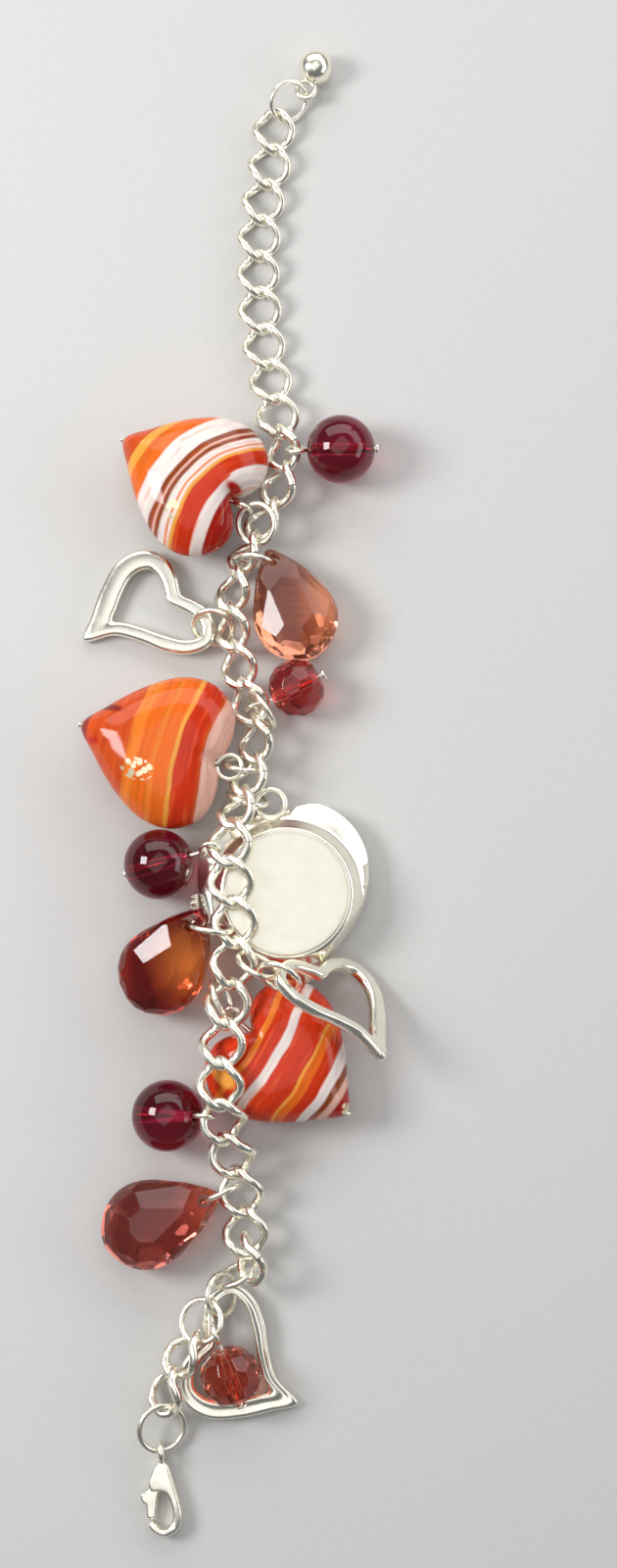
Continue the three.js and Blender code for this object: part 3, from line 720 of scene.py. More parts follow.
def eye_pin(to_head, to_eye, loop, neck, button=BEAD_HEAD):
    """A pin along +X: head beyond one end of the bead, neck and eye beyond the other."""
    eye_at = to_eye + neck + loop
    head_at = -to_head - PIN["head_gap"]
    head_end = head_at - button["length"]
    path = [(head_at, 0, 0)]
    path += [(eye_at - loop - before, side, 0) for before, side in NECK_BEND]
    for k in range(EYE_STEPS + 1):
        angle = math.radians(180 - EYE_START - (360 - EYE_GAP) * k / EYE_STEPS)
        path.append((eye_at + loop * math.cos(angle), loop * math.sin(angle), 0))
    profile = [(head_end, 0), (head_end, button["radius"]), (head_at, button["radius"]),
               (head_at, 0)]
    head = turned(soften(profile, 0.16), 24, "X")
    return joined(tube(path, PIN["wire"], 12), head)


# %% [markdown]
# ## Round beads
# The round beads are clear plastic in dark plum, close to ten millimetres across. Light goes
# through them, picks up the colour and comes out again, so a painted ball would look dead.
# The surface shader's transmission does the work: smooth, clear and tinted, with a faint
# cloudiness from noise, because moulded beads are never optically clean. The bead is turned
# as a ring with its hole open, so the pin shows inside it.

# %% Masks and blends for materials


def fleck_of(tree, own, middle, reach, soft=0.3):
    """1 near a point, 0 away from it; reach is its half size along X, Y and Z."""
    scaled = node(tree, "ShaderNodeVectorMath", {
        0: node(tree, "ShaderNodeVectorMath", {0: own, 1: Vector(middle) * MM},
                operation="SUBTRACT").outputs["Vector"],
        1: Vector(reach) * MM,
    }, operation="DIVIDE")
    away = node(tree, "ShaderNodeVectorMath", {0: scaled.outputs["Vector"]}, operation="LENGTH")
    return ranged(tree, away.outputs["Value"], 1.0 - soft, 1.0 + soft, 1.0, 0.0)


def blend_in(tree, under, over, share):
    """Lays one colour over another; over is a colour or an output."""
    mixed = node(tree, "ShaderNodeMix", {"Factor": share}, data_type="RGBA")
    tree.links.new(under, mixed.inputs[6])
    if isinstance(over, bpy.types.NodeSocket):
        tree.links.new(over, mixed.inputs[7])
    else:
        mixed.inputs[7].default_value = over
    return mixed.outputs[2]


# %% Clear coloured material


def clear_glass(name, tint, deep, clarity=0.92, roughness=0.02, cloud_scale=160.0, painted_glow=None):
    """Tinted see-through plastic or glass whose colour drifts towards a deeper one. A painted
    glow is a place in the layout, its reach, a lighter tint painted there for light seen
    through the stone, and how milky the glass is in it."""
    material, tree, shader = new_material(name)
    place = node(tree, "ShaderNodeTexCoord").outputs["Object"]
    clouds = node(tree, "ShaderNodeTexNoise", {
        "Vector": place, "Scale": cloud_scale, "Detail": 3.0, "Distortion": 0.6,
    }).outputs["Fac"]
    drift = node(tree, "ShaderNodeValToRGB", {"Fac": clouds})
    drift.color_ramp.elements[0].position = 0.35
    drift.color_ramp.elements[0].color = deep
    drift.color_ramp.elements[1].position = 0.65
    drift.color_ramp.elements[1].color = tint
    rub = ranged(tree, clouds, 0.3, 0.8, roughness, roughness + 0.05)
    shade = drift.outputs["Color"]
    shader.inputs["Transmission Weight"].default_value = clarity
    # Painted light: near one place a lighter tint is blended into the colour for light seen through
    # the stone, and the glass there is made milkier.
    if painted_glow:
        here = fleck_of(tree, place, Vector(painted_glow["at"]) + SHIFT, painted_glow["reach"], 0.6)
        shade = blend_in(tree, shade, painted_glow["tint"], here)
        milk = math_node(tree, "MULTIPLY", here, painted_glow["milk"])
        wire_up(tree, shader, Transmission_Weight=math_node(tree, "SUBTRACT", clarity, milk))
    wire_up(tree, shader, Base_Color=shade, Roughness=rub)
    shader.inputs["IOR"].default_value = 1.5
    return material


plum = clear_glass("plum plastic", colour(0.50, 0.020, 0.070), colour(0.27, 0.008, 0.026))

# %% Plum beads and their pins
BEAD_RADIUS = 4.85
HOLE = 0.63
HOLE_STEPS = (0.985, 0.9, 0.5, -0.5, -0.9, -0.985)
RIM_ROUND = 0.03
BEAD_STEPS = 32
EYE_LOOP = 1.25
PLUM_BEADS = {
    # middle, heading, lift, roll, bare neck
    "plum_bead_1": ((4.6, 47.3, 4.9), 180, -2, 59, 0.3),
    "plum_bead_2": ((-20.6, -11.9, 4.9), 13, 23, 52, 1.9),
    "plum_bead_3": ((-19.1, -46.1, 4.9), -1, 37, 84, 0.3),
}


def round_bead(radius, hole):
    """A ball with a hole along X, its rim just rounded."""
    rim = math.asin(hole / radius) + RIM_ROUND
    profile = []
    for k in range(BEAD_STEPS + 1):
        angle = rim + (math.pi - 2 * rim) * k / BEAD_STEPS
        profile.append((-radius * math.cos(angle), radius * math.sin(angle)))
    end = profile[-1][0]
    for share in HOLE_STEPS:
        profile.append((end * share, hole))
    return turned(profile, 64, "X", closed=True)


for name, (at, heading, lift, roll, neck) in PLUM_BEADS.items():
    turn = pose(heading, lift, roll)
    ball = build(f"{name}_ball", round_bead(BEAD_RADIUS, HOLE), plum, at, turn, sharp=60)
    settle(ball, "plum_glass", name)
    wire = eye_pin(BEAD_RADIUS, BEAD_RADIUS, EYE_LOOP, neck)
    pin = build(f"{name}_wire", wire, silver_wire, at, turn, sharp=50)
    settle(pin, "silver", f"{name}_pin")

# %% [markdown]
# ## Grinding
# A cutter makes a stone by pressing it on a flat wheel again and again, and Blender can do
# just that: start from a block and slice it with planes. A plane is a direction and how far
# from the middle it stops. If that distance is how far the smooth stone would reach in that
# direction, every facet just touches it, and rings of staggered cuts meet in diamonds.

# %% Slice a block, cut a piece


def ground(cuts, block=30.0):
    """A block sliced by planes, each an outward direction and a distance from the middle."""
    stone = bmesh.new()
    bmesh.ops.create_cube(stone, size=block)
    for outward, distance in cuts:
        everything = stone.verts[:] + stone.edges[:] + stone.faces[:]
        bmesh.ops.bisect_plane(stone, geom=everything, dist=1e-5, clear_outer=True,
                               plane_co=outward * distance, plane_no=outward)
        open_edges = [edge for edge in stone.edges if edge.is_boundary]
        if open_edges:
            bmesh.ops.holes_fill(stone, edges=open_edges, sides=0)
    stone.verts.index_update()
    points = [tuple(corner.co) for corner in stone.verts]
    faces = [tuple(corner.index for corner in face.verts) for face in stone.faces]
    stone.free()
    return points, faces


def towards(azimuth, tilt):
    """A direction that leans from +Z by tilt, towards the azimuth, in degrees."""
    around, lean = math.radians(azimuth), math.radians(tilt)
    return Vector((math.sin(lean) * math.cos(around), math.sin(lean) * math.sin(around),
                   math.cos(lean)))


def cut_out(thing, tool_shape, at, turn):
    """Cuts a shape, given in the piece's own millimetres, out of a finished piece."""
    tool = build("tool", tool_shape, thing.data.materials[0], at, turn)
    cut = thing.modifiers.new("cut", "BOOLEAN")
    cut.operation = "DIFFERENCE"
    cut.solver = "EXACT"
    cut.object = tool
    graph = bpy.context.evaluated_depsgraph_get()
    left = bpy.data.meshes.new_from_object(thing.evaluated_get(graph), depsgraph=graph)
    thing.modifiers.clear()
    thing.data = left
    bpy.data.objects.remove(tool)
    return thing


def drill(thing, radius, start, end, at, turn, sides=32):
    return cut_out(thing, tube([start, end], radius, sides), at, turn)


# %% [markdown]
# ## Small faceted beads
# Two red beads are fire polished: staggered rings of small diamond facets, with a flat round
# the hole. They are ground from a ball, so every facet stops at the same distance, and only
# the two flats at the hole are nearer. A hair-thin bevel gives each edge the soft line that
# polishing leaves.

# %% Faceted beads
FACETED_RADIUS = 4.0
FACET_REACH = 0.965
BEAD_CUTS = [
    # tilt from the hole, number of cuts, first cut as a share of a step
    (0, 1, 0.0), (32, 8, 0.0), (61, 10, 0.5), (90, 10, 0.0), (119, 10, 0.5), (148, 8, 0.0),
    (180, 1, 0.0),
]
BEAD_END = 0.88


def ground_bead(radius):
    """A faceted ball whose hole runs along X."""
    lay_down = Matrix.Rotation(math.radians(90), 4, "Y")
    cuts = []
    for tilt, count, shift in BEAD_CUTS:
        reach = radius * (BEAD_END if count == 1 else FACET_REACH)
        for k in range(count):
            outward = towards(360 * (k + shift) / count, tilt)
            cuts.append(((lay_down @ outward).normalized(), reach))
    return ground(cuts)


SMALL_BEADS = {
    # middle, heading, lift, roll, bare neck, tint, deeper tint
    "small_bead_1": ((-1.7, 13.0, 4.05), 205, -12, 108, 1.2,
                     colour(0.90, 0.21, 0.17), colour(0.62, 0.05, 0.05)),
    "small_bead_2": ((-10.4, -80.4, 4.05), 110, 10, 90, 0.8,
                     colour(0.82, 0.20, 0.10), colour(0.50, 0.06, 0.035)),
}
bead_shape = ground_bead(FACETED_RADIUS)
for name, (at, heading, lift, roll, neck, tint, deep) in SMALL_BEADS.items():
    ruby = clear_glass(f"{name} glass", tint, deep)
    turn = pose(heading, lift, roll)
    cut = build(f"{name}_cut", bead_shape, ruby, at, turn, flat=True)
    drill(cut, HOLE, (-FACETED_RADIUS, 0, 0), (FACETED_RADIUS, 0, 0), at, turn, 24)
    bevel(cut, 0.05, 1, 8)
    settle(cut, "red_glass", name)
    wire = eye_pin(FACETED_RADIUS, FACETED_RADIUS, EYE_LOOP, neck)
    pin = build(f"{name}_wire", wire, silver_wire, at, turn, sharp=50)
    settle(pin, "silver", f"{name}_pin")

# %% [markdown]
# ## Cut drops
# The three amber drops are flat pears with a small table on each side and rings of facets,
# the most of them near the rim. The smooth stone they are ground from is a cushion over a
# pear outline, full in the middle and thin at the rim, so its reach in any direction comes
# from a cloud of its points.

# %% The cushion, and one drop
DROP = {"length": 16.8, "thickness": 7.4, "rim": 0.45, "full_at": -1.4}
DROP_HALF = [(0.0, 0.0), (1.0, 1.3), (3.0, 2.7), (5.5, 4.2), (8.0, 5.4), (10.5, 5.9),
             (12.8, 5.5), (14.9, 4.1), (16.3, 2.0), (16.8, 0.0)]
OUTER_CUTS = [
    # tilt from the table, number of cuts, first cut as a share of a step
    (45, 10, 0.0), (64, 18, 0.5),
]
TABLE_TILT = 25
GIRDLE_CUTS = 40


def cushion_points(layers=24):
    """A cloud of points on the upper half of the smooth stone, its narrow end towards +X."""
    lower = [(along, -half) for along, half in DROP_HALF[1:-1]]
    outline = smooth_line(DROP_HALF + lower[::-1], closed=True, per_span=12)
    flat = np.stack([DROP["length"] / 2 - outline[:, 0], outline[:, 1]], 1)
    middle = np.array([DROP["full_at"], 0.0])
    crown = DROP["thickness"] / 2 - DROP["rim"]
    cloud = []
    for share in np.linspace(0, 1, layers):
        ring = middle + (flat - middle) * share
        height = DROP["rim"] + crown * math.sqrt(1 - share ** 2)
        cloud.append(np.column_stack([ring, np.full(len(ring), height)]))
    return np.vstack(cloud)


def ground_drop(around_table, first_facet):
    """One stone, with so many facets round its table, the first one a share of a step round."""
    cloud = cushion_points()
    outwards = [towards(360 * k / GIRDLE_CUTS, 90) for k in range(GIRDLE_CUTS)]
    cut_rings = [(0, 1, 0.0), (TABLE_TILT, around_table, first_facet), *OUTER_CUTS]
    for tilt, count, first in cut_rings:
        for k in range(count):
            upper = towards(360 * (k + first) / count, tilt)
            outwards += [upper, Vector((upper.x, upper.y, -upper.z))]
    reaches = [float(np.max(cloud @ np.array((out.x, out.y, abs(out.z))))) for out in outwards]
    return ground(list(zip(outwards, reaches)))


print("points on the cushion:", len(cushion_points()))

# %% The three drops
DRILL_FROM = 2.2
DRILL_RADIUS = 0.92
DROPS = {
    # middle, heading of the narrow end, lift, facets round the table and the first one's
    # # place, tint, deeper tint, painted glow (a lighter tint painted for light seen through the
    # stone)
    "briolette_1": ((-2.6, 25.1, 3.7), 112, 0, (6, 0.5),
                    colour(0.72, 0.30, 0.19), colour(0.58, 0.20, 0.12),
                    {"at": (2.4, 26.0, 3.7), "reach": (3.0, 6.4, 8.0),
                     "tint": colour(1.0, 0.42, 0.20), "milk": 0.15}),
    "briolette_2": ((-18.9, -24.9, 5.9), 54, 20, (12, 0.25),
                    colour(0.50, 0.04, 0.02), colour(0.24, 0.01, 0.014),
                    {"at": (-16.0, -25.8, 5.0), "reach": (4.0, 4.4, 9.0),
                     "tint": colour(1.0, 0.32, 0.06), "milk": 0.35}),
    "briolette_3": ((-19.8, -59.8, 3.7), 22, 0, (8, 0.5),
                    colour(0.60, 0.16, 0.12), colour(0.42, 0.08, 0.065),
                    {"at": (-13.4, -57.6, 3.7), "reach": (3.4, 3.6, 8.0),
                     "tint": colour(0.90, 0.22, 0.12), "milk": 0.15}),
}
for name, (at, heading, lift, facets, tint, deep, painted_glow) in DROPS.items():
    amber = clear_glass(f"{name} glass", tint, deep, 0.92, 0.01, 90.0, painted_glow)
    turn = pose(heading, lift)
    drop_shape = ground_drop(*facets)
    stone = build(f"{name}_cut", drop_shape, amber, at, turn, flat=True)
    hole_at = DROP["length"] / 2 - DRILL_FROM
    half = DROP["thickness"]
    drill(stone, DRILL_RADIUS, (hole_at, 0, -half), (hole_at, 0, half), at, turn, 24)
    bevel(stone, 0.06, 1, 6)
    settle(stone, "amber_glass", name)
print("facets on a drop:", len(drop_shape[1]))

# %% [markdown]
# ## Striped glass hearts
# These are lamp-worked: rods of orange, red and white glass wound in bands and pressed in a
# puffed heart mould. The stripes lie in the glass, follow a slight curve and wander a little.
# The bands are a colour ramp that reads the distance from a point beyond the notch, which
# makes arcs, and a low noise pushes that distance to and fro. The ramp's alpha says how
# cloudy each band is, so the clearer ones, such as one heart's tip, let light through. A
# finer noise, drawn out along the arcs, gives the streaks and threads of worked glass.

# %% The heart's shape
HEART_HALF = [(0, 0.0), (3.2, 2.5), (7.5, 7.0), (10.1, 11.6), (10.2, 15.8), (7.6, 19.3),
              (4.2, 20.1)]
HEART_MIDDLE = 11.6
HEART_NOTCH = 17.6
NOTCH_SIDE = (1.6, 1.3)
HEART_THICKNESS = 10.0
HEART_ROUND = (9.4, 8.8)
PUFF_POWER = 0.75
NOTCH_POWER = 1.5


def mirrored(half):
    """Both halves of an outline that is the same on both sides of the Y axis."""
    inner = [(x, y) for x, y in half if x > 0]
    return list(half) + [(-x, y) for x, y in reversed(inner)]


def puffed_heart(scale, fill, around=120, layers=36):
    """A pillow with a heart-shaped rim, its notch filled by so much; its upper layers lose
    the notch and grow round."""
    notch = HEART_NOTCH + fill
    beside = (NOTCH_SIDE[0], HEART_NOTCH + NOTCH_SIDE[1] + fill * 0.7)
    half = HEART_HALF + [beside, (0, notch)]
    rim = evenly(smooth_line(mirrored(half), closed=True), around)
    layers_of_points = []
    for layer in range(layers + 1):
        rise = math.pi * (layer / layers - 0.5)
        spread = max(math.cos(rise), 0.0) ** PUFF_POWER
        keep = spread ** NOTCH_POWER
        ring = []
        for x, y in rim:
            out = Vector((y - HEART_MIDDLE, -x))
            bearing = math.atan2(out.y, out.x)
            plain = 1 / math.hypot(math.cos(bearing) / HEART_ROUND[1],
                                   math.sin(bearing) / HEART_ROUND[0])
            length = out.length * keep + plain * (1 - keep)
            out = out.normalized() * length * spread * scale
            ring.append((out.x, out.y, HEART_THICKNESS / 2 * math.sin(rise)))
        layers_of_points.append(ring)
    return skin(layers_of_points, capped=False)


print("faces on a puffed heart:", len(puffed_heart(1.0, 0.0)[1]))

# %% Colours of the glass rods
WHITE = (0.88, 0.77, 0.72, 1.0)
PINK = (0.90, 0.52, 0.42, 0.95)
YELLOW = (0.95, 0.42, 0.07, 0.9)
AMBER = (0.92, 0.24, 0.03, 0.88)
ORANGE = (0.90, 0.17, 0.015, 0.85)
SCARLET = (0.72, 0.045, 0.01, 0.85)
RED = (0.52, 0.015, 0.008, 0.75)
DARK_RED = (0.22, 0.012, 0.008, 0.6)
CLEAR_RED = (0.62, 0.05, 0.015, 0.35)
BROWN = (0.42, 0.09, 0.025, 0.6)
FLAME = (0.82, 0.11, 0.02, 0.7)
THREAD = (0.80, 0.17, 0.04, 1.0)
LEAF = (1.0, 0.88, 0.6, 1.0)


def fill_ramp(ramp, bands, soft=0.12):
    """Turns (width, colour) bands into ramp stops with a soft step between bands."""
    whole = sum(width for width, _ in bands)
    stops, far = [], 0.0
    for width, shade in bands:
        edge = min(soft, width * 0.3)
        stops.append(((far + edge) / whole, shade))
        stops.append(((far + width - edge) / whole, shade))
        far += width
    while len(ramp.elements) > 1:
        ramp.elements.remove(ramp.elements[0])
    ramp.elements[0].position, ramp.elements[0].color = stops[0]
    for position, shade in stops[1:]:
        ramp.elements.new(position).color = shade
    return whole


# %% Arcs, spots and streaks
ARC_EDGE = 0.12
STREAK_STRETCH = 0.07


def own_place(tree, centre, heading):
    """A heart's own coordinates, from its middle, +X towards the notch."""
    return node(tree, "ShaderNodeMapping", {
        "Vector": node(tree, "ShaderNodeTexCoord").outputs["Object"],
        "Location": (Vector(centre) + SHIFT) * MM,
        "Rotation": (0, 0, math.radians(heading)),
    }, vector_type="TEXTURE").outputs["Vector"]


def arc_distance(tree, own, bend, wander):
    """How far a place is from the arcs' centre, pushed to and fro by a low noise."""
    drift = node(tree, "ShaderNodeTexNoise", {
        "Vector": own, "Scale": 110.0, "Detail": 2.0, "Roughness": 0.45,
    }).outputs["Fac"]
    far = node(tree, "ShaderNodeVectorMath", {0: own, 1: Vector(bend) * MM}, operation="DISTANCE")
    push = math_node(tree, "MULTIPLY", math_node(tree, "SUBTRACT", drift, 0.5), wander * MM)
    return math_node(tree, "ADD", far.outputs["Value"], push)


def banded(tree, along, heart):
    """The bands' colour and how clear they are, counted from the tip."""
    ramp = node(tree, "ShaderNodeValToRGB")
    whole = fill_ramp(ramp.color_ramp, heart["bands"])
    tip_far = math.dist(heart["bend"], (-HEART_MIDDLE * heart["scale"], 0, 0)) * MM
    share = ranged(tree, along, tip_far, tip_far - whole * MM)
    tree.links.new(share, ramp.inputs["Fac"])
    return ramp.outputs["Color"], math_node(tree, "SUBTRACT", 1.0, ramp.outputs["Alpha"])


def spotted(tree, own, along, spots, shade, clear):
    """Lays cloudy spots over the bands, each cut off at its own arc."""
    for spot in spots:
        here = fleck_of(tree, own, spot["at"], spot["reach"], spot["soft"])
        arc = spot["within"]
        inside = ranged(tree, along, (arc - ARC_EDGE) * MM, (arc + ARC_EDGE) * MM, 1.0, 0.0)
        here = math_node(tree, "MULTIPLY", here, inside)
        shade = blend_in(tree, shade, spot["colour"], here)
        clear = math_node(tree, "MULTIPLY", clear, math_node(tree, "SUBTRACT", 1.0, here))
    return shade, clear


def streaked(tree, own, along, shade):
    """Lighter and darker streaks and thin threads, drawn out along the arcs."""
    stretch = (STREAK_STRETCH, STREAK_STRETCH, STREAK_STRETCH)
    drawn_out = node(tree, "ShaderNodeVectorMath", {
        0: node(tree, "ShaderNodeCombineXYZ", {"X": along}).outputs["Vector"],
        1: node(tree, "ShaderNodeMapping", {"Vector": own, "Scale": stretch}).outputs["Vector"],
    }, operation="ADD")
    streaks = node(tree, "ShaderNodeTexNoise", {
        "Vector": drawn_out.outputs["Vector"], "Scale": 1900.0, "Detail": 3.0,
    }).outputs["Fac"]
    lit = node(tree, "ShaderNodeVectorMath", {
        0: shade, "Scale": ranged(tree, streaks, 0.3, 0.7, 0.8, 1.1),
    }, operation="SCALE").outputs["Vector"]
    return blend_in(tree, lit, THREAD, ranged(tree, streaks, 0.58, 0.66, 0.0, 0.45))


def metal_leaf(tree, own, middle, reach):
    """Small angular flecks of leaf, only near one place."""
    cells = node(tree, "ShaderNodeTexVoronoi", {"Vector": own, "Scale": 1150.0})
    fleck = math_node(tree, "LESS_THAN", cells.outputs["Distance"], 0.56)
    return math_node(tree, "MULTIPLY", fleck, fleck_of(tree, own, middle, reach, 0.05))


# %% Striped glass material
LEAF_SHINE = 0.4


def striped_glass(name, centre, heading, heart):
    """The heart's bend is the arcs' centre; spots and leaf are places on it. All are in the
    heart's own millimetres from its middle, +X towards the notch. A spot may stop at an arc:
    `within` is how far from the bend it goes."""
    material, tree, shader = new_material(name)
    own = own_place(tree, centre, heading)
    along = arc_distance(tree, own, heart["bend"], heart["wander"])
    shade, clear = banded(tree, along, heart)
    shade, clear = spotted(tree, own, along, heart["spots"], shade, clear)
    leaf = metal_leaf(tree, own, *heart["leaf"])
    gilded = blend_in(tree, streaked(tree, own, along, shade), LEAF, leaf)
    wire_up(tree, shader, Base_Color=gilded, Transmission_Weight=clear,
            Metallic=math_node(tree, "MULTIPLY", leaf, LEAF_SHINE))
    shader.inputs["Subsurface Weight"].default_value = 0.2
    shader.inputs["Subsurface Radius"].default_value = (1.0, 0.35, 0.15)
    shader.inputs["Subsurface Scale"].default_value = 0.001
    shader.inputs["Roughness"].default_value = 0.1
    shader.inputs["Specular IOR Level"].default_value = 0.25
    return material


# %% The three hearts
ANYWHERE = 90.0
HEART_DRILL = 14.0
HEARTS = {
    "glass_heart_1": {
        "tip": (-26.2, 48.6), "heading": -30, "scale": 1.0, "loop": 1.25, "neck": 0.8, "roll": 90,
        "bend": (14.8, -3.3, 0.0), "fill": 0.0, "wander": 1.3,
        "bands": [(2.8, FLAME), (1.3, YELLOW), (2.1, ORANGE), (2.5, WHITE), (0.7, BROWN),
                  (0.3, PINK), (0.55, BROWN), (0.9, WHITE), (0.2, AMBER), (0.4, WHITE),
                  (0.5, YELLOW), (2.5, SCARLET), (1.8, WHITE), (4.35, RED)],
        "spots": [
            {"at": (8.5, 5.2, 2.0), "reach": (5.4, 5.0, 6.0), "colour": WHITE, "soft": 0.06,
             "within": 12.2},
            {"at": (6.4, 1.0, 3.6), "reach": (1.5, 0.7, 3.0), "colour": RED, "soft": 0.3,
             "within": ANYWHERE},
        ],
        "leaf": ((0.2, -6.3, 4.0), (0.9, 1.7, 3.0)),
    },
    "glass_heart_2": {
        "tip": (-31.6, 7.6), "heading": -16, "scale": 1.03, "loop": 1.7, "neck": 1.6, "roll": 0,
        "bend": (50.0, 1.0, 0.0), "fill": 1.2, "wander": 1.5,
        "bands": [(1.2, CLEAR_RED), (6.2, FLAME), (1.6, AMBER), (1.9, ORANGE), (0.7, AMBER),
                  (1.9, ORANGE), (0.6, YELLOW), (3.2, SCARLET), (0.5, FLAME), (4.5, PINK)],
        "spots": [
            {"at": (-8.9, 3.2, 3.0), "reach": (2.4, 0.6, 4.0), "colour": DARK_RED, "soft": 0.3,
             "within": ANYWHERE},
            {"at": (-9.7, -1.9, 2.0), "reach": (1.5, 0.5, 4.0), "colour": RED, "soft": 0.7,
             "within": ANYWHERE},
        ],
        "leaf": ((-2.2, -4.3, 4.0), (2.4, 1.5, 3.0)),
    },
    "glass_heart_3": {
        "tip": (5.2, -45.8), "heading": 140, "scale": 0.98, "loop": 1.25, "neck": 1.8, "roll": 150,
        "bend": (47.8, 8.3, 0.0), "fill": 0.0, "wander": 2.0,
        "bands": [(1.8, RED), (1.0, PINK), (0.8, BROWN), (1.3, WHITE), (1.5, SCARLET),
                  (1.1, ORANGE), (0.35, YELLOW), (3.3, SCARLET), (1.2, WHITE), (2.1, SCARLET),
                  (0.9, AMBER), (4.2, SCARLET)],
        "spots": [
            {"at": (4.3, 7.0, 3.0), "reach": (1.8, 1.0, 4.0), "colour": YELLOW, "soft": 0.25,
             "within": ANYWHERE},
        ],
        "leaf": ((-11.0, -0.5, 1.0), (0.9, 0.9, 3.0)),
    },
}
for name, heart in HEARTS.items():
    turn = pose(heart["heading"])
    tip = Vector((*heart["tip"], 0))
    centre = tip + turn @ Vector((HEART_MIDDLE * heart["scale"], 0, 0))
    at = (centre.x, centre.y, HEART_THICKNESS / 2)
    glass = striped_glass(f"{name} glass", at, heart["heading"], heart)
    puff = build(f"{name}_puff", puffed_heart(heart["scale"], heart["fill"]), glass, at, turn)
    drill(puff, HOLE, (-HEART_DRILL, 0, 0), (HEART_DRILL, 0, 0), at, turn, 24)
    puff.data.set_sharp_from_angle(angle=math.radians(50))
    settle(puff, "striped_glass", name)
    to_tip = HEART_MIDDLE * heart["scale"]
    to_notch = HEART_NOTCH * heart["scale"] - to_tip
    wire = eye_pin(to_tip, to_notch, heart["loop"], heart["neck"], HEART_HEAD)
    pin_turn = pose(heart["heading"], 0, heart["roll"])
    pin = build(f"{name}_wire", wire, silver_wire, at, pin_turn, sharp=50)
    settle(pin, "silver", f"{name}_pin")

# %% [markdown]
# ## Open hearts
# The open hearts are cast: a band that thickens and thins as it goes round, pointed at the
# tip and creased at the notch. An outer and an inner line give its two edges at every step,
# and one cross-section runs between them: a crowned face with worn edges. The middle of the
# face is hollowed a little, hardly at all on two of the hearts and plainly on the third.

# %% Open heart band
OPEN_THICKNESS = 1.7
ACROSS_POWER = 0.8
CROWN_POWER = 0.62
CHANNEL_WIDTH = 0.45
BAND_EDGES = [
    # outer edge, inner edge
    ((0.2, -0.2), (4.4, 2.8)), ((1.2, 3.4), (4.9, 4.5)), ((2.5, 7.2), (5.8, 6.9)),
    ((4.5, 10.8), (7.0, 9.0)), ((6.9, 12.5), (8.3, 9.9)), ((9.4, 12.8), (9.5, 10.0)),
    ((12.0, 11.5), (10.8, 8.9)), ((13.5, 9.0), (11.6, 7.2)), ((14.0, 6.9), (12.0, 5.4)),
    ((14.5, 6.2), (12.6, 4.8)), ((16.3, 5.3), (14.4, 3.9)), ((18.1, 3.8), (16.0, 2.9)),
    ((18.9, 1.6), (17.0, 1.6)), ((18.4, -1.0), (16.7, 0.1)), ((15.4, -2.3), (14.8, -0.3)),
    ((11.8, -1.9), (11.4, 0.6)), ((8.4, -0.5), (8.4, 1.7)), ((4.6, 0.5), (6.0, 2.4)),
]


def band_section(channel, sides=28):
    """Points round the band: share of the way inwards, share of half the thickness."""
    section = []
    for k in range(sides):
        angle = FULL_TURN * k / sides
        across = math.copysign(abs(math.cos(angle)) ** ACROSS_POWER, math.cos(angle))
        high = math.copysign(abs(math.sin(angle)) ** CROWN_POWER, math.sin(angle))
        dip = 1 - channel * math.exp(-(across / CHANNEL_WIDTH) ** 2)
        section.append((0.5 - 0.5 * across, high * dip))
    return section


def open_heart(channel, slim):
    """One heart; slim moves the inner edge outwards by a share of the band's width."""
    outer = smooth_line([pair[0] for pair in BAND_EDGES], closed=True, per_span=12)[:-1]
    inner = smooth_line([pair[1] for pair in BAND_EDGES], closed=True, per_span=12)[:-1]
    inner = inner + (outer - inner) * slim
    section = band_section(channel)
    sections = []
    for out, into in zip(outer, inner):
        ring = []
        for across, high in section:
            x, y = out + (into - out) * across
            ring.append((x, y, high * OPEN_THICKNESS / 2))
        sections.append(ring)
    return skin(sections, closed=True)


OPEN_HEARTS = {
    # tip, heading of the long lobe, lift, roll, depth of the channel, slimming
    "open_heart_1": ((-32.1, 20.6, 0.86), 0, 4, 0, 0.04, 0.0),
    "open_heart_2": ((10.2, -38.7, 9.1), 142, 10, 230, 0.1, 0.25),
    "open_heart_3": ((-1.5, -84.6, 0.86), 121, 4, 0, 0.35, 0.18),
}
for name, (tip, heading, lift, roll, channel, slim) in OPEN_HEARTS.items():
    shape = open_heart(channel, slim)
    band = build(f"{name}_band", shape, silver_cast, tip, pose(heading, lift, roll))
    settle(band, "silver", name)

# %% [markdown]
# ## The watch
# The watch lies on its face, so its plain steel back shows. The case is one casting: a heart
# that shrinks in a step to a round collar, bored through, with a well for the crystal. Every
# ring of the case is a heart or a circle, whichever is smaller in that direction, so one list
# of height, inset and largest radius describes the outside, the bore and the well together.

# %% Case
CASE_HALF = [(0, -12.7), (2.9, -10.7), (6.5, -7.5), (9.6, -4.2), (11.6, 0.2), (11.8, 4.6),
             (10.1, 8.8), (6.4, 11.8), (2.4, 11.7), (0, 10.7)]
CASE_TURN = 10
CASE_PROFILE = [
    # height, inset from the heart outline, largest radius
    (0.0, 0.9, 16.0), (0.9, 0.0, 16.0), (3.2, 0.0, 16.0), (4.4, 0.35, 10.4), (6.3, 0.7, 9.0),
    (6.3, 0.0, 7.7), (1.5, 0.0, 7.7), (1.5, 0.0, 8.3), (0.0, 0.0, 8.3),
]
CASE_EYE = {"at": 13.1, "radius": 2.0, "wire": 0.45, "z": 2.6}


def smaller(one, other, blend=0.5):
    """The smaller of two lengths, with the corner between them blended."""
    share = min(max(0.5 + 0.5 * (other - one) / blend, 0.0), 1.0)
    return other + (one - other) * share - blend * share * (1 - share)


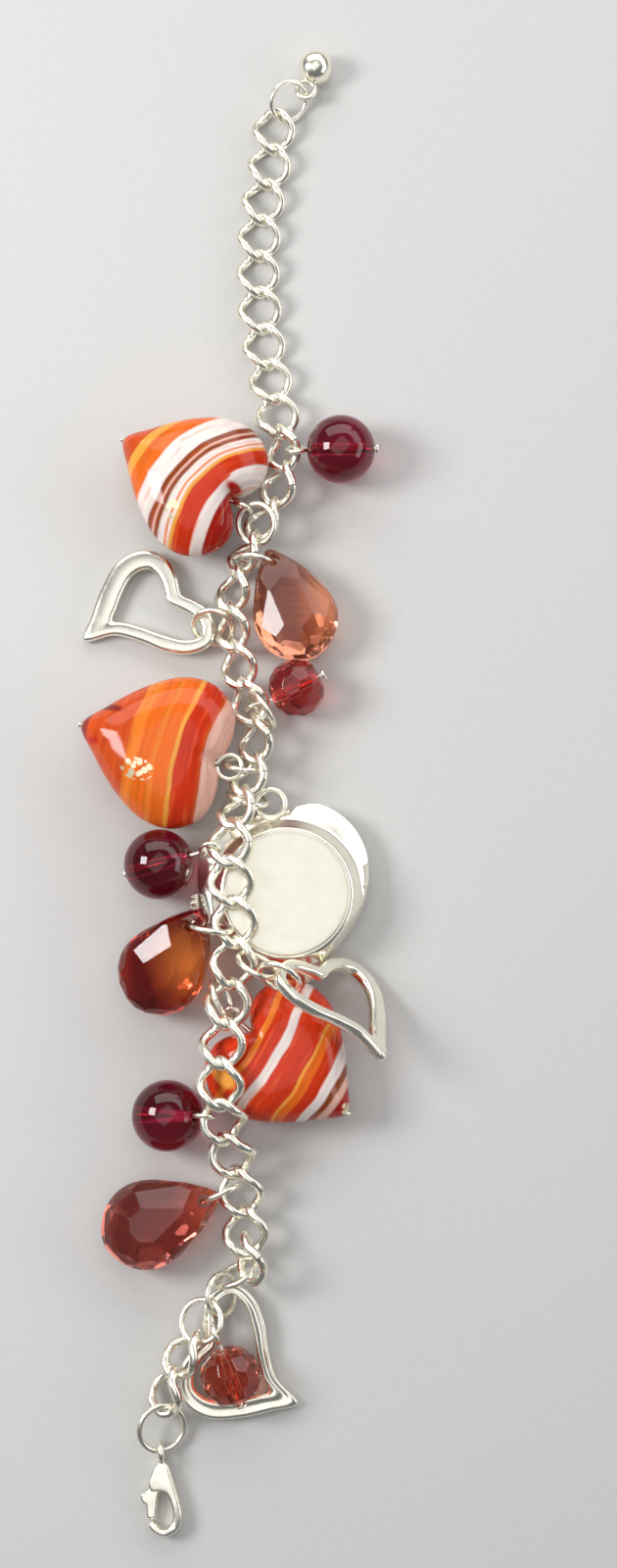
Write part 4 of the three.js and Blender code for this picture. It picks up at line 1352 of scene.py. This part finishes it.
def case_shape(around=160):
    rim = evenly(smooth_line(mirrored(CASE_HALF), closed=True), around)
    rows = []
    for z, inset, limit in soften(CASE_PROFILE, 0.45, 4, closed=True):
        row = []
        for x, y in rim:
            reach = math.hypot(x, y)
            radius = smaller(reach - inset, limit)
            row.append((x / reach * radius, y / reach * radius, z))
        rows.append(row)
    return skin(rows, closed=True)


def round_path(radius, steps=48):
    return [(radius * math.cos(FULL_TURN * k / steps), radius * math.sin(FULL_TURN * k / steps), 0)
            for k in range(steps)]


eye = tube(round_path(CASE_EYE["radius"]), CASE_EYE["wire"], 14, closed=True)
eye = turned_points(eye, Matrix.Translation((0, CASE_EYE["at"], CASE_EYE["z"])))
case = build("watch_case_shell", joined(case_shape(), eye), silver_cast, WATCH_AT,
             pose(CASE_TURN), sharp=40)
settle(case, "silver", "watch_case")

# %% Back and crown
steel = metal("satin steel", colour(0.90, 0.86, 0.73), colour(0.86, 0.82, 0.69), 0.28, 0.34, 0.03)
BACK_PROFILE = [(5.7, 0), (5.7, 7.4), (6.62, 7.4), (6.62, 8.6), (6.97, 8.6), (7.03, 8.3),
                (7.06, 7.9), (7.09, 4.0), (7.1, 0)]
back = build("watch_back_lid", turned(soften(BACK_PROFILE, 0.12, 3), 96), steel, WATCH_AT,
             pose(CASE_TURN), sharp=40)
settle(back, "steel", "watch_back")

CROWN = {"radius": 1.15, "near": 12.2, "far": 13.4, "heading": 184, "z": 2.0, "teeth": 22}
BETWEEN_TEETH = 0.93


def crown_shape():
    """A small button with teeth round its side."""
    near, far, radius = CROWN["near"], CROWN["far"], CROWN["radius"]
    profile = soften([(near, 0), (near, radius), (far, radius), (far, 0)], 0.18, 3)
    rows = []
    steps = CROWN["teeth"] * 4
    for along, out in profile:
        row = []
        for k in range(steps):
            angle = FULL_TURN * k / steps
            tooth = 1.0 if k % 4 < 2 else BETWEEN_TEETH
            depth = out * (tooth if out > radius * 0.8 else 1.0)
            row.append((along, depth * math.cos(angle), depth * math.sin(angle)))
        rows.append(row)
    return skin(rows, capped=False)


crown = build("watch_crown_knob", crown_shape(), silver_cast,
              (WATCH_AT.x, WATCH_AT.y, CROWN["z"]), pose(CROWN["heading"]), sharp=35)
settle(crown, "silver", "watch_crown")

# %% End ball and its loop
BALL = {"radius": 2.5, "loop": 1.3, "wire": 0.35, "loop_at": -3.7, "at": (1.0, 106.1), "turn": -22}


def ball_profile(radius, count=28):
    return [(-radius * math.cos(math.pi * k / count), radius * math.sin(math.pi * k / count))
            for k in range(count + 1)]


loop = tube(round_path(BALL["loop"]), BALL["wire"], 12, closed=True)
loop = turned_points(loop, Matrix.Translation((0, BALL["loop_at"], 0)))
ball_shape = joined(turned(ball_profile(BALL["radius"]), 48), loop)
end_ball = build("end_ball_drop", ball_shape, silver_cast, (*BALL["at"], BALL["radius"]),
                 pose(BALL["turn"]))
settle(end_ball, "silver", "end_ball")

# %% [markdown]
# ## The clasp
# The lobster clasp is a cast hook: a body whose two cheeks hold a sprung lever on a pin, and
# an arm that comes round to meet the lever's end. A casting like this is drawn flat and its
# edges are rounded right over, so both parts are pillows: an outline, pulled in more and more
# towards its upper and lower face. The lever's room is then milled out of the body. The lever
# rides on its own body, because it swings.

# %% Pillows
EDGE_POWER = 0.7


def pulled_in(line, inset):
    """A closed line moved inwards by the same distance everywhere."""
    before, after = np.roll(line, 1, axis=0), np.roll(line, -1, axis=0)
    along = after - before
    along /= np.linalg.norm(along, axis=1)[:, None]
    area = np.sum(line[:, 0] * after[:, 1] - after[:, 0] * line[:, 1])
    inwards = np.stack([-along[:, 1], along[:, 0]], 1) * math.copysign(1.0, area)
    return line + inwards * inset


def pillow(outline, low, high, edge, count=110, layers=10):
    """A flat form from low to high, its edge rounded over by so much."""
    line = evenly(smooth_line(outline, closed=True, per_span=20), count)
    rows = []
    for layer in range(layers + 1):
        rise = math.pi * (layer / layers - 0.5)
        z = (low + high) / 2 + (high - low) / 2 * math.sin(rise)
        inset = edge * (1 - max(math.cos(rise), 0.0) ** EDGE_POWER)
        rows.append([(x, y, z) for x, y in pulled_in(line, inset)])
    return skin(rows)


def turned_disc(radius, low, high, soft=0.1, steps=64):
    """A round disc with softened edges."""
    profile = [(low, 0), (low, radius), (high, radius), (high, 0)]
    return turned(soften(profile, soft, 3), steps)


# %% Hook and lever
CLASP_AT = (-19.7, -90.6, 0.0)
CLASP_TURN = 3
CLASP_THICKNESS = 2.2
CLASP_EYE = {"radius": 1.15, "wire": 0.42, "z": 1.6}
HUB = (-0.95, -3.9)
SLOT = {"low": 0.42, "high": 1.78, "left": -4.0, "right": 0.3, "mouth": -6.0, "above": 1.2}
LEVER = {"low": 0.65, "high": 1.55, "hole": 0.62}
PIN_RADIUS = 0.4
PIN_INSET = 0.02
HOOK_OUTLINE = [
    (0.0, -0.95), (0.85, -1.6), (1.4, -3.4), (2.05, -5.8), (2.45, -8.2), (1.95, -10.0),
    (0.1, -10.95), (-1.55, -10.3), (-2.2, -9.25), (-1.75, -8.75), (-1.1, -9.0), (-0.6, -9.65),
    (0.05, -9.8), (0.75, -9.4), (1.15, -8.2), (0.85, -6.5), (0.3, -5.4), (-0.5, -5.1),
    (-1.6, -5.0), (-2.0, -4.2), (-1.6, -3.0), (-0.85, -1.6),
]
LEVER_OUTLINE = [
    (-0.05, -3.9), (-0.35, -4.9), (-0.7, -6.2), (-0.9, -7.6), (-1.1, -8.45), (-1.7, -8.62),
    (-2.3, -8.35), (-2.4, -7.4), (-2.42, -6.7), (-2.75, -6.5), (-3.05, -6.0), (-3.0, -5.4),
    (-2.6, -5.05), (-2.05, -4.8), (-1.85, -4.1), (-1.6, -3.3), (-0.95, -3.0), (-0.25, -3.3),
]


def slot_shape():
    """The room between the cheeks, open to the left and down into the mouth."""
    left, right, mouth = SLOT["left"], SLOT["right"], SLOT["mouth"]
    top = HUB[1] + SLOT["above"]
    plan = [(left, mouth), (right, mouth), (right, HUB[1]), (HUB[0], top), (left, top)]
    return skin([[(x, y, z) for x, y in plan] for z in (SLOT["low"], SLOT["high"])])


clasp_turn = pose(CLASP_TURN)
hook = build("clasp_hook", pillow(HOOK_OUTLINE, 0.0, CLASP_THICKNESS, 0.42), silver_cast,
             CLASP_AT, clasp_turn, sharp=50)
cut_out(hook, slot_shape(), CLASP_AT, clasp_turn)
upright = Matrix.Rotation(math.radians(90), 4, "Y")
hook_eye = turned_points(tube(round_path(CLASP_EYE["radius"]), CLASP_EYE["wire"], 14, closed=True),
                         Matrix.Translation((0, 0, CLASP_EYE["z"])) @ upright)
pin_disc = turned_disc(PIN_RADIUS, PIN_INSET, CLASP_THICKNESS - PIN_INSET, 0.12, 32)
hinge_pin = turned_points(pin_disc, Matrix.Translation((*HUB, 0)))
fittings = build("clasp_fittings", joined(hook_eye, hinge_pin), silver_cast, CLASP_AT,
                 clasp_turn, sharp=50)
settle(hook, "silver", "clasp_body")
settle(fittings, "silver", "clasp_body")

lever = build("clasp_thumb_lever", pillow(LEVER_OUTLINE, LEVER["low"], LEVER["high"], 0.34),
              silver_cast, CLASP_AT, clasp_turn, sharp=50)
drill(lever, LEVER["hole"], (*HUB, 0), (*HUB, CLASP_THICKNESS), CLASP_AT, clasp_turn)
settle(lever, "silver", "clasp_lever", body="lever")

# %% [markdown]
# ## Crystal, dial and hands
# The watch's face looks down and shows from below. Behind a clear crystal with a polished
# edge lies a cream dial with twelve raised marks and a ring of minute dots, bare of any name,
# and two blued steel hands that taper to a point.

# %% The face
FACE_TURN = 10
CRYSTAL_PROFILE = [(1.2, 0), (1.2, 8.0), (0.45, 8.0), (0.2, 7.6), (0.2, 0)]
DIAL = {"radius": 7.4, "low": 3.0, "high": 3.5}
HOUR_MARK = {"from": 5.2, "to": 6.5, "half_width": 0.17, "rise": 0.16}
MINUTE_DOT = {"at": 6.95, "radius": 0.09, "rise": 0.1}
SUNK = 0.05

crystal = clear_glass("watch crystal", colour(0.97, 0.98, 0.98), colour(0.93, 0.95, 0.95), 0.97)
ink = metal("blued steel", colour(0.10, 0.11, 0.14), colour(0.06, 0.07, 0.10), 0.25, 0.35)
paint, tree, shader = new_material("dial paint")
speckle = node(tree, "ShaderNodeTexNoise", {
    "Vector": node(tree, "ShaderNodeTexCoord").outputs["Object"], "Scale": 3000.0,
})
cream = node(tree, "ShaderNodeMix", {"Factor": speckle.outputs["Fac"]}, data_type="RGBA")
cream.inputs["A"].default_value = colour(0.88, 0.86, 0.80)
cream.inputs["B"].default_value = colour(0.93, 0.91, 0.86)
wire_up(tree, shader, Base_Color=cream.outputs["Result"])
shader.inputs["Roughness"].default_value = 0.5

glass_shape = turned(soften(CRYSTAL_PROFILE, 0.08, 2), 96)
watch_glass = build("watch_glass", glass_shape, crystal, WATCH_AT, pose(FACE_TURN), sharp=30)
settle(watch_glass, "crystal", "watch_crystal")


def hour_mark(hour):
    """A raised bar that points at the middle; the quarters are twice as wide."""
    half = HOUR_MARK["half_width"] * (2 if hour % 3 == 0 else 1)
    plan = [(HOUR_MARK["from"], -half), (HOUR_MARK["to"], -half),
            (HOUR_MARK["to"], half), (HOUR_MARK["from"], half)]
    low, high = DIAL["low"] - HOUR_MARK["rise"], DIAL["low"] + SUNK
    bar = skin([[(x, y, z) for x, y in plan] for z in (low, high)])
    return turned_points(bar, Matrix.Rotation(math.radians(30 * hour), 4, "Z"))


def minute_dot(minute):
    turn = Matrix.Rotation(math.radians(6 * minute), 4, "Z")
    low, high = DIAL["low"] - MINUTE_DOT["rise"], DIAL["low"] + SUNK
    dot = turned_disc(MINUTE_DOT["radius"], low, high, 0.02, 10)
    return turned_points(dot, turn @ Matrix.Translation((MINUTE_DOT["at"], 0, 0)))


disc = build("watch_dial_disc", turned_disc(DIAL["radius"], DIAL["low"], DIAL["high"], 0.06, 96),
             paint, WATCH_AT, pose(FACE_TURN), sharp=30)
settle(disc, "dial_paint", "watch_dial")
marks = [hour_mark(hour) for hour in range(12)]
marks += [minute_dot(minute) for minute in range(60) if minute % 5]
mark_set = build("watch_dial_marks", joined(*marks), ink, WATCH_AT, pose(FACE_TURN), flat=True)
settle(mark_set, "steel", "watch_dial")

# %% The hands
HANDS = {
    # heading, length, half width, low, high
    "hour_hand": (70, 3.6, 0.42, 2.45, 2.7),
    "minute_hand": (-50, 5.6, 0.32, 1.9, 2.15),
}
HAND_TAIL = 1.0
HAND_HUB = 0.55
WIDEST_AT = 0.25
TAIL_SHARE = 0.4
POINT_HALF = 0.04
RIDGE_SHARE = 0.15


def hand_shape(length, half_width, low, high):
    """A tapered hand with a ridge along its lower face, and its round hub."""
    tail, widest = half_width * TAIL_SHARE, length * WIDEST_AT
    plan = [(-HAND_TAIL, -tail), (widest, -half_width), (length, -POINT_HALF),
            (length, POINT_HALF), (widest, half_width), (-HAND_TAIL, tail)]
    top = [(x, y, high) for x, y in plan]
    edge = [(x, y, (low + high) / 2) for x, y in plan]
    ridge = [(x, y * RIDGE_SHARE, low) for x, y in plan]
    return joined(skin([top, edge, ridge]), turned_disc(HAND_HUB, low, high, 0.05, 32))


for name, (heading, length, half_width, low, high) in HANDS.items():
    shape = hand_shape(length, half_width, low, high)
    blade = build(f"{name}_blade", shape, ink, WATCH_AT, pose(heading), sharp=20)
    settle(blade, "steel", name)
